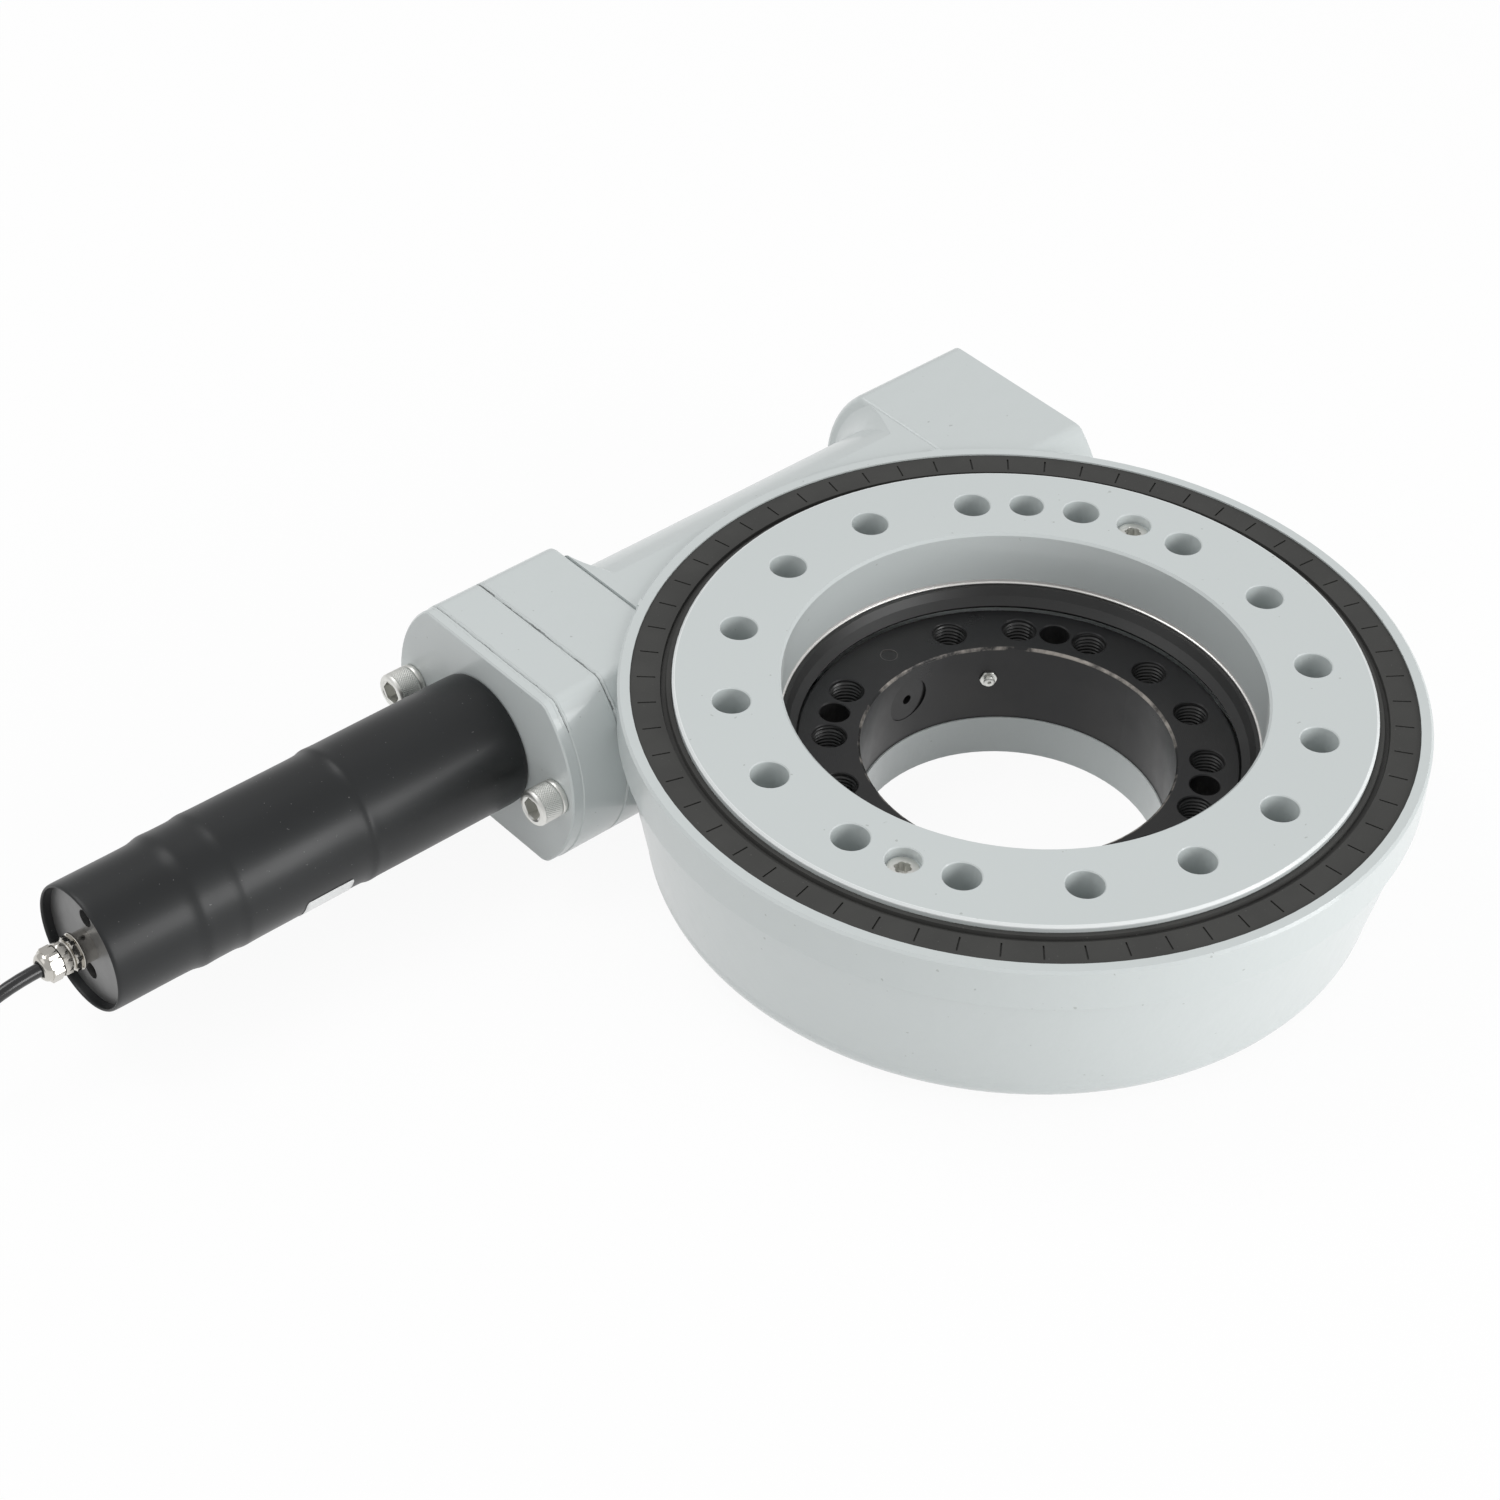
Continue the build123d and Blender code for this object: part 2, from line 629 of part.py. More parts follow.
def bearing(x, prefix, small_side):
    """Taper roller bearing with its inboard face at x, its rollers leaning towards small_side."""
    low = x
    high = x + bearing_width
    mid = (low + high) / 2
    cup_low, cup_high = (24.6, 26.6) if small_side > 0 else (26.6, 24.6)
    cone_low, cone_high = (18.0, 20.0) if small_side > 0 else (20.0, 18.0)
    across = Plane(origin=worm_axis.origin, x_dir=(1, 0, 0), z_dir=(0, 0, 1))
    spin = Axis(worm_axis.origin, (1, 0, 0))
    with BuildPart() as cup:
        with BuildSketch(across):
            with BuildLine():
                Polyline(
                    (low, cup_low),
                    (high, cup_high),
                    (high, worm_bore_radius - fit_gap),
                    (low, worm_bore_radius - fit_gap),
                    close=True,
                )
            make_face()
        revolve(axis=spin)
    save(cup, f"{prefix}_bearing_cup")
    with BuildPart() as cone:
        with BuildSketch(across):
            with BuildLine():
                Polyline(
                    (low, bearing_bore),
                    (high, bearing_bore),
                    (high, cone_high),
                    (low, cone_low),
                    close=True,
                )
            make_face()
        revolve(axis=spin)
    save(cone, f"{prefix}_bearing_cone")
    lean = degrees(atan2(cup_high - cup_low, bearing_width))
    roller_pitch = (cup_low + cup_high + cone_low + cone_high) / 4
    roller_radius = (cup_low - cone_low) / 2 * cos(radians(lean)) - fit_gap
    with BuildPart() as rollers:
        for index in range(roller_count):
            turn = 360 / roller_count * index
            outward = Vector(0, cos(radians(turn)), sin(radians(turn)))
            origin = worm_axis.origin + Vector(mid, 0, 0) + outward * roller_pitch
            along = Vector(cos(radians(lean)), 0, 0) + outward * sin(radians(lean))
            with BuildSketch(Plane(origin=origin, z_dir=along)):
                Circle(roller_radius)
            extrude(amount=6, both=True)
    save(rollers, f"{prefix}_bearing_rollers")


bearing(near_bearing, "near", -1)
bearing(far_bearing, "far", 1)

with BuildPart() as lock_nut:
    with BuildSketch(worm_plane(far_bearing + bearing_width)):
        Circle(21)
        Circle(bearing_bore, mode=Mode.SUBTRACT)
        with PolarLocations(21, 4):
            Rectangle(5, 5, mode=Mode.SUBTRACT)
    extrude(amount=8)
save(lock_nut, "bearing_lock_nut")

with BuildPart() as end_cap:
    with BuildSketch(worm_plane(far_face)):
        Circle(end_cap_radius)
    extrude(amount=end_cap_thickness)
    chamfer(faces().sort_by(Axis.X)[-1].edges(), 1.2)
    with BuildSketch(worm_plane(far_face)):
        Circle(worm_bore_radius - fit_gap)
        Circle(24, mode=Mode.SUBTRACT)
    extrude(amount=-(far_face - far_bearing - bearing_width))
    with BuildSketch(worm_plane(far_face)):
        with PolarLocations(cap_screw_circle, 6, start_angle=30):
            Circle(3.2)
    extrude(amount=end_cap_thickness, mode=Mode.SUBTRACT)
    with BuildSketch(worm_plane(far_face + end_cap_thickness)):
        with PolarLocations(cap_screw_circle, 6, start_angle=30):
            Circle(cap_screw_head + 0.3)
    extrude(amount=-5.5, mode=Mode.SUBTRACT)
save(end_cap, "end_cap")


def socket_screws(plane, spots, thread_radius, head_radius, head_height, length, key):
    """Socket head screws under the head at plane, whose normal points out of the head."""
    with BuildPart() as screws:
        with BuildSketch(plane):
            with Locations(*spots):
                Circle(head_radius)
        extrude(amount=head_height)
        tops = faces().sort_by(Axis(plane.origin, plane.z_dir))[-len(spots):]
        chamfer(tops.edges(), head_radius * 0.08)
        with BuildSketch(plane):
            with Locations(*spots):
                Circle(thread_radius)
        extrude(amount=-length)
        with BuildSketch(plane.offset(head_height)):
            with Locations(*spots):
                RegularPolygon(key, 6, major_radius=False)
        extrude(amount=-head_height * 0.6, mode=Mode.SUBTRACT)
    return screws


cap_angles = [radians(30 + 60 * index) for index in range(6)]
cap_spots = [(cap_screw_circle * cos(angle), cap_screw_circle * sin(angle)) for angle in cap_angles]
end_cap_screws = socket_screws(
    worm_plane(far_face + end_cap_thickness - 5.5), cap_spots, 2.5, cap_screw_head, 5, 18, 2.0
)
save(end_cap_screws, "end_cap_screws")

# ---------------------------------------------------------------- motor mounting
with BuildPart() as motor_adapter:
    with BuildSketch(worm_plane(near_face)):
        boss_outline()
        Circle(22, mode=Mode.SUBTRACT)
        with Locations((-flange_bolt_half_span, 0), (flange_bolt_half_span, 0)):
            Circle(flange_bolt_radius + 0.5, mode=Mode.SUBTRACT)
    extrude(amount=-adapter_thickness)
    chamfer(faces().sort_by(Axis.X)[0].outer_wire().edges(), seam_chamfer)
    chamfer(faces().sort_by(Axis.X)[-1].outer_wire().edges(), seam_chamfer)
save(motor_adapter, "motor_adapter")

with BuildPart() as adapter_pilot:
    with BuildSketch(worm_plane(near_face)):
        Circle(worm_bore_radius - fit_gap)
        Circle(24, mode=Mode.SUBTRACT)
    extrude(amount=near_bearing - near_face)
save(adapter_pilot, "bearing_spacer")

with BuildPart() as shaft_seal:
    with BuildSketch(worm_plane(near_face)):
        Circle(22 - fit_gap)
        Circle(bearing_bore + fit_gap, mode=Mode.SUBTRACT)
    extrude(amount=-8)
save(shaft_seal, "shaft_seal")

with BuildPart() as motor_flange:
    with BuildSketch(worm_plane(near_face - adapter_thickness)):
        boss_outline(-0.4)
        Circle(motor_front_radius - 6, mode=Mode.SUBTRACT)
        with Locations((-flange_bolt_half_span, 0), (flange_bolt_half_span, 0)):
            Circle(flange_bolt_radius + 0.5, mode=Mode.SUBTRACT)
    extrude(amount=-flange_thickness)
    chamfer(faces().sort_by(Axis.X)[0].outer_wire().edges(), seam_chamfer)
save(motor_flange, "motor_flange")

bolt_spots = [(-flange_bolt_half_span, 0), (flange_bolt_half_span, 0)]
bolt_plane = Plane(
    origin=worm_plane(flange_face - washer_thickness).origin, x_dir=(0, 1, 0), z_dir=(-1, 0, 0)
)
bolt_length = washer_thickness + flange_thickness + adapter_thickness + flange_bolt_engagement
flange_bolts = socket_screws(
    bolt_plane, bolt_spots, flange_bolt_radius, bolt_head_radius, bolt_head_height, bolt_length, bolt_key / 2
)
save(flange_bolts, "flange_bolts")

with BuildPart() as flange_washers:
    with BuildSketch(bolt_plane):
        with Locations(*bolt_spots):
            Circle(washer_radius)
            Circle(flange_bolt_radius + 0.1, mode=Mode.SUBTRACT)
    extrude(amount=-washer_thickness)
save(flange_washers, "flange_washers")

# ---------------------------------------------------------------- motor
stator_front = flange_face - gearbox_length - gearbox_step
band_front = stator_front - stator_length - band_step
with BuildPart() as motor_case:
    with BuildSketch(Plane(origin=worm_axis.origin, x_dir=(1, 0, 0), z_dir=(0, 0, 1))):
        with BuildLine():
            Polyline(
                (flange_face, output_shaft_radius + clearance),
                (flange_face, motor_front_radius),
                (stator_front + gearbox_step, motor_front_radius),
                (stator_front, motor_mid_radius),
                (stator_front - stator_length, motor_mid_radius),
                (band_front, motor_band_radius),
                (band_front - band_length, motor_band_radius),
                (motor_end + rear_length, motor_rear_radius),
                (motor_end + 1.2, motor_rear_radius),
                (motor_end, motor_rear_radius - 0.8),
                (motor_end, motor_rear_radius - motor_wall),
                (motor_end + motor_end_recess + 3, motor_rear_radius - motor_wall),
                (motor_end + motor_end_recess + 3, 0),
                (flange_face - 30, 0),
                (flange_face - 30, output_shaft_radius + clearance),
                close=True,
            )
        make_face()
    revolve(axis=Axis(worm_axis.origin, (1, 0, 0)))
    with BuildSketch(worm_plane(motor_end)):
        with Locations((0, end_hole_offset), (0, -end_hole_offset)):
            Circle(end_hole_radius)
    extrude(amount=motor_end_recess + 8, mode=Mode.SUBTRACT)
save(motor_case, "motor_case")

with BuildPart() as motor_end_plate:
    with BuildSketch(worm_plane(motor_end + motor_end_recess)):
        Circle(motor_rear_radius - motor_wall - fit_gap)
        Circle(gland_radius, mode=Mode.SUBTRACT)
        with Locations((0, end_hole_offset), (0, -end_hole_offset)):
            Circle(end_hole_radius, mode=Mode.SUBTRACT)
    extrude(amount=3)
save(motor_end_plate, "motor_end_plate")

with BuildPart() as output_shaft:
    with BuildSketch(worm_plane(flange_face - output_shaft_inset)):
        Circle(output_shaft_radius)
    extrude(amount=output_shaft_inset + output_shaft_reach)
    with BuildSketch(worm_plane(flange_face + output_shaft_reach)):
        with Locations((0, output_shaft_radius)):
            Rectangle(key_width, key_width)
    extrude(amount=-key_length, mode=Mode.SUBTRACT)
save(output_shaft, "motor_output_shaft")

with BuildPart() as shaft_key:
    with BuildSketch(worm_plane(flange_face + output_shaft_reach)):
        with Locations((0, output_shaft_radius)):
            Rectangle(key_width, key_width)
    extrude(amount=-key_length)
save(shaft_key, "shaft_key")

# ---------------------------------------------------------------- cable gland
gland_seat = motor_end + motor_end_recess
with BuildPart() as gland_body:
    with BuildSketch(worm_plane(gland_seat)):
        Circle(gland_radius)
    extrude(amount=3)
    with BuildSketch(worm_plane(gland_seat)):
        RegularPolygon(8.2, 6)
    extrude(amount=-6)
    with BuildSketch(worm_plane(gland_seat - 6)):
        Circle(6.8)
    extrude(amount=-4)
save(gland_body, "gland_body")

gland_tip = gland_seat - 25
with BuildPart() as gland_nut:
    with BuildSketch(worm_plane(gland_seat - 10)):
        RegularPolygon(8.2, 6)
    extrude(amount=-9)
    with BuildSketch(worm_plane(gland_seat - 19)) as nut_foot:
        Circle(7.0)
    with BuildSketch(worm_plane(gland_tip)) as nut_tip:
        Circle(5.6)
    loft(sections=[nut_foot.sketch, nut_tip.sketch])
save(gland_nut, "gland_nut")

# ---------------------------------------------------------------- cable: run to the floor, coil and connector
cable_radius = cable_diameter / 2
tail_offset = coil_radius + cable_radius  # the outer turns' centre line
cable_route = [
    (gland_tip - 0.01, worm_offset, worm_height),
    (gland_tip - 39, worm_offset, worm_height),
    (gland_tip - 82, worm_offset, cable_radius + 1),
    (coil_centre[0] + coil_tail, coil_centre[1] - tail_offset, cable_radius + 1),
]


def tangent_radii(points):
    """The largest arc at each corner that its two runs allow."""
    radii = []
    for before, here, after in zip(points, points[1:], points[2:]):
        first = Vector(here) - Vector(before)
        second = Vector(after) - Vector(here)
        turn = first.get_angle(second)
        radii.append(0.45 * min(first.length, second.length) / tan(radians(turn) / 2))
    return radii


radii = tangent_radii(cable_route)
print("cable bend radii", [round(r, 1) for r in radii])
with BuildPart() as cable:
    with BuildLine() as cable_path:
        FilletPolyline(*cable_route, radius=radii)
    with BuildSketch(Plane(origin=cable_path.line @ 0, z_dir=cable_path.line % 0)):
        Circle(cable_radius)
    sweep(path=cable_path.line)
run_length = sum(edge.length for edge in cable_path.line.edges())
print("cable run", run_length, "share", cable.part.volume / (pi * cable_radius**2 * run_length))
save(cable, "cable")

connector_height = 8.0
with BuildPart() as cable_coil:
    with BuildSketch(Plane.XY):
        with Locations(coil_centre):
            Circle(coil_radius + cable_diameter)
            Circle(coil_radius - cable_diameter, mode=Mode.SUBTRACT)
    extrude(amount=2 * cable_diameter)
    for side, level in ((-1, cable_radius + 1), (1, connector_height)):
        tail_start = (coil_centre[0], coil_centre[1] + side * tail_offset, level)
        with BuildSketch(Plane(origin=tail_start, x_dir=(0, 1, 0), z_dir=(1, 0, 0))):
            Circle(cable_radius)
        extrude(amount=coil_tail)
save(cable_coil, "cable_coil")

connector_plane = Plane(
    origin=(coil_centre[0] + coil_tail, coil_centre[1] + tail_offset, connector_height),
    x_dir=(0, 1, 0),
    z_dir=(1, 0, 0),
)
with BuildPart() as cable_connector:
    with BuildSketch(connector_plane):
        Circle(5)
    extrude(amount=6)
    with BuildSketch(connector_plane.offset(6)):
        Circle(6.5)
    extrude(amount=20)
    with BuildSketch(connector_plane.offset(26)):
        Circle(8)
    extrude(amount=14)
    with BuildSketch(connector_plane.offset(40)):
        Circle(6)
    extrude(amount=-9, mode=Mode.SUBTRACT)
save(cable_connector, "cable_connector")
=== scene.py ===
"""Looks for the enclosed slew drive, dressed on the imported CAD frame. Metres, in the frame's own axes."""

import json
from math import cos, pi, radians, sin, tau

import bmesh
import bpy
from mathutils import Matrix, Vector


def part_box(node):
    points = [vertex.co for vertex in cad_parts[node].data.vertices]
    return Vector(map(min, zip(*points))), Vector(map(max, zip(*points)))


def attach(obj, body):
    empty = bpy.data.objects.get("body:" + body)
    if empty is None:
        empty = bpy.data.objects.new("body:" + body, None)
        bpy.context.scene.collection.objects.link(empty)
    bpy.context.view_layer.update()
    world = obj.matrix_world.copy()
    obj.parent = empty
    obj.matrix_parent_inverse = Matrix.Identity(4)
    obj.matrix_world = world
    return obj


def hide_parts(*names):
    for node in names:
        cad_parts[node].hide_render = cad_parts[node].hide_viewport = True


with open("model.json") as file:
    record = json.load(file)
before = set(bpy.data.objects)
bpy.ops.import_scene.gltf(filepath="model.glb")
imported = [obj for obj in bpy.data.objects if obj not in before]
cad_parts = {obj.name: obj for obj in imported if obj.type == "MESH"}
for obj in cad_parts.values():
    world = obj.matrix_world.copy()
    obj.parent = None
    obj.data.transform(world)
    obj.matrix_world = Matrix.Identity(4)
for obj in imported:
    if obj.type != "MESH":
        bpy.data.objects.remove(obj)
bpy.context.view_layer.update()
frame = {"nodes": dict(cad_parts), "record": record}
nodes = frame["nodes"]
scene = bpy.context.scene

MM = 0.001
AXIS_Y = 174.5 * MM
AXIS_Z = 50.5 * MM
MOTOR_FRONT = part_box("motor_case")[1].x
GLAND_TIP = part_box("gland_nut")[0].x
INNER_CIRCLE = 87.5 * MM  # the inner ring's threaded holes
OUTPUT_CIRCLE = 135 * MM  # the ring gear's holes and plugs

# ---------------------------------------- camera
camera = bpy.data.objects.new("camera", bpy.data.cameras.new("camera"))
scene.collection.objects.link(camera)
camera.data.sensor_width = 36
camera.data.lens = 85.92
camera.data.clip_end = 50
right = Vector((0.74990258, -0.66071613, 0.03317094))
ahead = Vector((0.51651435, 0.55343239, -0.65339538))
up = right.cross(ahead)
turn = Matrix((right, up, -ahead)).transposed().to_4x4()
camera.matrix_world = Matrix.Translation((-0.94823, -0.83457, 1.14131)) @ turn
scene.camera = camera


# ---------------------------------------- mesh helpers
def mesh_object(name, verts, faces, smooth=True):
    """A mesh object from points and faces, its normals set to point outwards."""
    mesh = bpy.data.meshes.new(name)
    mesh.from_pydata(verts, [], faces)
    shape = bmesh.new()
    shape.from_mesh(mesh)
    bmesh.ops.remove_doubles(shape, verts=shape.verts, dist=1e-7)
    bmesh.ops.recalc_face_normals(shape, faces=shape.faces)
    shape.to_mesh(mesh)
    shape.free()
    for face in mesh.polygons:
        face.use_smooth = smooth
    piece = bpy.data.objects.new(name, mesh)
    scene.collection.objects.link(piece)
    return piece


def along_x(x, radius, angle, y=AXIS_Y, z=AXIS_Z):
    """Point at a radius and angle about a line parallel to X."""
    return (x, y + radius * cos(angle), z + radius * sin(angle))


def about_z(height, radius, angle, x=0.0, y=0.0):
    """Point at a radius and angle about a line parallel to Z."""
    return (x + radius * cos(angle), y + radius * sin(angle), height)


def rings(rows, around, closed=False):
    """Faces between rows of points, where each row is a closed ring."""
    faces = []
    for row in range(rows if closed else rows - 1):
        low, high = row * around, (row + 1) % rows * around
        for k in range(around):
            j = (k + 1) % around
            faces.append((low + k, low + j, high + j, high + k))
    return faces


def grid(rows, columns):
    """Faces of an open sheet with this many cells each way."""
    faces = []
    for row in range(rows):
        for k in range(columns):
            a = row * (columns + 1) + k
            faces.append((a, a + 1, a + columns + 2, a + columns + 1))
    return faces


def lathe(name, profile, place, segments=96, closed=False, shape=None):
    """Turns (position, radius) pairs about an axis. shape(angle, position, radius) may change a radius."""
    verts = []
    for position, radius in profile:
        for k in range(segments):
            angle = tau * k / segments
            r = shape(angle, position, radius) if shape else radius
            verts.append(place(position, r, angle))
    return mesh_object(name, verts, rings(len(profile), segments, closed))


def edge_split(piece, angle=35):
    """Keeps edges sharper than the angle crisp."""
    with bpy.context.temp_override(object=piece, active_object=piece, selected_editable_objects=[piece]):
        bpy.ops.object.shade_smooth_by_angle(angle=radians(angle))


def join(name, pieces):
    """Joins mesh objects into one."""
    shape = bmesh.new()
    for piece in pieces:
        shape.from_mesh(piece.data)
    mesh = bpy.data.meshes.new(name)
    shape.to_mesh(mesh)
    shape.free()
    whole = bpy.data.objects.new(name, mesh)
    scene.collection.objects.link(whole)
    for piece in pieces:
        bpy.data.objects.remove(piece)
    return whole


# ---------------------------------------- material helpers
class Paint:
    """A node material with shorthand for the nodes that all of them use."""

    def __init__(self, name, color, rough, metallic=0.0, coat=0.0, coat_rough=0.1, specular=0.5):
        self.material = bpy.data.materials.new(name)
        self.material.use_nodes = True
        self.material.diffuse_color = (*color, 1)
        self.tree = self.material.node_tree
        self.bsdf = self.tree.nodes["Principled BSDF"]
        self.color = color
        self.bsdf.inputs["Base Color"].default_value = (*color, 1)
        self.bsdf.inputs["Roughness"].default_value = rough
        self.bsdf.inputs["Metallic"].default_value = metallic
        self.bsdf.inputs["Coat Weight"].default_value = coat
        self.bsdf.inputs["Coat Roughness"].default_value = coat_rough
        self.bsdf.inputs["Specular IOR Level"].default_value = specular
        self.place = self.tree.nodes.new("ShaderNodeTexCoord").outputs["Object"]
        self.last_color = None
        self.last_normal = None

    def node(self, kind, **settings):
        made = self.tree.nodes.new(kind)
        for key, value in settings.items():
            setattr(made, key, value)
        return made

    def link(self, source, target):
        self.tree.links.new(source, target)

    def noise(self, scale, detail=3.0, stretch=(1, 1, 1), rough=0.55):
        """Noise whose scale is per metre of the frame."""
        place = self.node("ShaderNodeMapping")
        place.inputs["Scale"].default_value = stretch
        self.link(self.place, place.inputs["Vector"])
        made = self.node("ShaderNodeTexNoise")
        made.inputs["Scale"].default_value = scale
        made.inputs["Detail"].default_value = detail
        made.inputs["Roughness"].default_value = rough
        self.link(place.outputs["Vector"], made.inputs["Vector"])
        return made.outputs["Fac"]

    def math(self, operation, a, b=None):
        made = self.node("ShaderNodeMath", operation=operation)
        for socket, value in zip(made.inputs, (a, b)):
            if value is None:
                continue
            if isinstance(value, (int, float)):
                socket.default_value = value
            else:
                self.link(value, socket)
        return made.outputs[0]

    def band(self, value, low, high, soft):
        """1 between low and high, with soft ends."""
        rise = self.node("ShaderNodeMapRange", interpolation_type="SMOOTHSTEP")
        rise.inputs["From Min"].default_value = low - soft
        rise.inputs["From Max"].default_value = low
        self.link(value, rise.inputs["Value"])
        fall = self.node("ShaderNodeMapRange", interpolation_type="SMOOTHSTEP")
        fall.inputs["From Min"].default_value = high
        fall.inputs["From Max"].default_value = high + soft
        fall.inputs["To Min"].default_value = 1
        fall.inputs["To Max"].default_value = 0
        self.link(value, fall.inputs["Value"])
        return self.math("MULTIPLY", rise.outputs[0], fall.outputs[0])

    def ramp(self, value, low, high, start=0.0, end=1.0):
        """Takes low to high to start to end, held at both ends."""
        made = self.node("ShaderNodeMapRange", clamp=True)
        made.inputs["From Min"].default_value = low
        made.inputs["From Max"].default_value = high
        made.inputs["To Min"].default_value = start
        made.inputs["To Max"].default_value = end
        self.link(value, made.inputs["Value"])
        return made.outputs[0]

    def radius_height(self):
        """Distance from the slewing axis, and height."""
        split = self.node("ShaderNodeSeparateXYZ")
        self.link(self.place, split.inputs[0])
        xx = self.math("MULTIPLY", split.outputs[0], split.outputs[0])
        yy = self.math("MULTIPLY", split.outputs[1], split.outputs[1])
        return self.math("SQRT", self.math("ADD", xx, yy)), split.outputs[2]

    def mix_color(self, mask, color):
        """Lays a colour over the present one where mask is 1."""
        made = self.node("ShaderNodeMix", data_type="RGBA")
        self.link(mask, made.inputs["Factor"])
        if self.last_color is None:
            made.inputs["A"].default_value = (*self.color, 1)
        else:
            self.link(self.last_color, made.inputs["A"])
        made.inputs["B"].default_value = (*color, 1)
        self.last_color = made.outputs["Result"]
        self.link(self.last_color, self.bsdf.inputs["Base Color"])

    def bump(self, height, strength, distance):
        """Adds a bump to the ones already there."""
        made = self.node("ShaderNodeBump")
        made.inputs["Strength"].default_value = strength
        made.inputs["Distance"].default_value = distance
        self.link(height, made.inputs["Height"])
        if self.last_normal is not None:
            self.link(self.last_normal, made.inputs["Normal"])
        self.last_normal = made.outputs["Normal"]
        self.link(self.last_normal, self.bsdf.inputs["Normal"])

    def rough(self, value):
        self.link(value, self.bsdf.inputs["Roughness"])

    def metal(self, value):
        self.link(value, self.bsdf.inputs["Metallic"])


GREY = (0.592, 0.632, 0.630)


def enamel(name, cast=0.35, color=GREY):
    """Glossy grey enamel sprayed over metal: orange peel, slow drift of tone, a little dust."""
    made = Paint(name, color, 0.3, coat=0.35, coat_rough=0.08)
    made.mix_color(made.ramp(made.noise(5, 1), 0.2, 0.8, 0, 0.5), tuple(c * 0.95 for c in color))
    made.mix_color(made.ramp(made.noise(330, 1), 0.775, 0.80, 0, 0.5), (0.30, 0.32, 0.30))
    made.bump(made.noise(380, 1), 0.10, 0.0002)
    if cast:
        made.bump(made.noise(70, 3, rough=0.5), cast, 0.0012)
    made.rough(made.ramp(made.noise(11, 1), 0.2, 0.8, 0.28, 0.34))
    return made


RIDGE = 1.3 * MM  # half the width of the raised paint along a seam
WORM_SIDE = 120 * MM  # seams are drawn only beyond this y, clear of the ring
WIDE_SEAM, FINE_SEAM = 0.25 * MM, 0.12 * MM


def seam(made, place, width):
    """Paint cracked and chipped along a joint across the worm's axis."""
    split = made.node("ShaderNodeSeparateXYZ")
    made.link(made.place, split.inputs[0])
    wander = made.ramp(made.noise(130, 4, rough=0.7), 0.35, 0.65, -0.35 * MM, 0.35 * MM)
    behind = made.math("GREATER_THAN", split.outputs[1], WORM_SIDE)
    line = made.band(made.math("ADD", split.outputs[0], wander), place - width, place + width, 0.15 * MM)
    line = made.math("MULTIPLY", line, behind)
    chipped = made.ramp(made.noise(60, 3), 0.3, 0.6, 0.35, 1.0)
    made.mix_color(made.math("MULTIPLY", line, chipped), (0.13, 0.14, 0.14))
    along = made.math("ADD", split.outputs[0], wander)
    ridge = made.band(along, place - RIDGE, place + RIDGE, 0.5 * MM)
    ridge = made.math("MULTIPLY", ridge, behind)
    made.bump(made.math("MULTIPLY", ridge, made.noise(150, 3)), 0.5, 0.0012)


NEAR_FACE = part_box("motor_adapter")[1].x
FLANGE_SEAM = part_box("motor_adapter")[0].x
enamel_smooth = enamel("enamel_machined", cast=0.0)
enamel_cast = enamel("enamel_cast", cast=0.3)
enamel_block = enamel("enamel_block", cast=0.06)
seam(enamel_cast, NEAR_FACE, WIDE_SEAM)
seam(enamel_block, NEAR_FACE, WIDE_SEAM)
seam(enamel_block, FLANGE_SEAM, FINE_SEAM)

# the ring gear: a bare steel band low in its bore, made pale as a painted highlight, and a painted highlight
# round its top edge
BARE_HIGHLIGHT_LOW, BARE_HIGHLIGHT_HIGH, BARE_HIGHLIGHT_REACH = 72.5 * MM, 76.4 * MM, 118 * MM
CREST_IN, CREST_OUT = 159.7 * MM, 162 * MM
CREST_LOW, CREST_HIGH = 102.6 * MM, 106 * MM
enamel_ring = enamel("enamel_ring", cast=0.0)
distance, height = enamel_ring.radius_height()
# bare steel band, its colour raised and its metal lowered so that it shows as a painted highlight line
bare_and_highlight = enamel_ring.math(
    "MULTIPLY",
    enamel_ring.band(height, BARE_HIGHLIGHT_LOW, BARE_HIGHLIGHT_HIGH, 0.2 * MM),
    enamel_ring.band(distance, 0.0, BARE_HIGHLIGHT_REACH, 1 * MM),
)
enamel_ring.mix_color(bare_and_highlight, (0.93, 0.92, 0.90))
enamel_ring.metal(enamel_ring.math("MULTIPLY", bare_and_highlight, 0.45))
# painted highlight: a paler band along the outer top edge, where the chamfer would catch the light
crest = enamel_ring.band(distance, CREST_IN, CREST_OUT, 0.3 * MM)
crest_top = enamel_ring.band(height, CREST_LOW, CREST_HIGH, 0.3 * MM)
crest = enamel_ring.math("MULTIPLY", crest, crest_top)
enamel_ring.mix_color(crest, (0.80, 0.83, 0.83))

# the inner ring: turning marks, a worn edge at its bore that is partly wear and partly painted highlight,
# and the rim of the pressed pin
TURNING_PITCH = 0.9 * MM
WORN_HIGHLIGHT_IN, WORN_HIGHLIGHT_OUT = 73.0 * MM, 74.2 * MM
WORN_HIGHLIGHT_LOW, WORN_HIGHLIGHT_HIGH = 63.4 * MM, 66 * MM
phosphate = Paint("black_phosphate", (0.018, 0.018, 0.019), 0.33, metallic=0.35)
distance, height = phosphate.radius_height()
turned = phosphate.math("SINE", phosphate.math("MULTIPLY", distance, tau / TURNING_PITCH))
phosphate.bump(phosphate.math("MULTIPLY", turned, phosphate.noise(14, 2)), 0.12, 0.00012)
phosphate.bump(phosphate.noise(900, 2), 0.06, 0.0001)
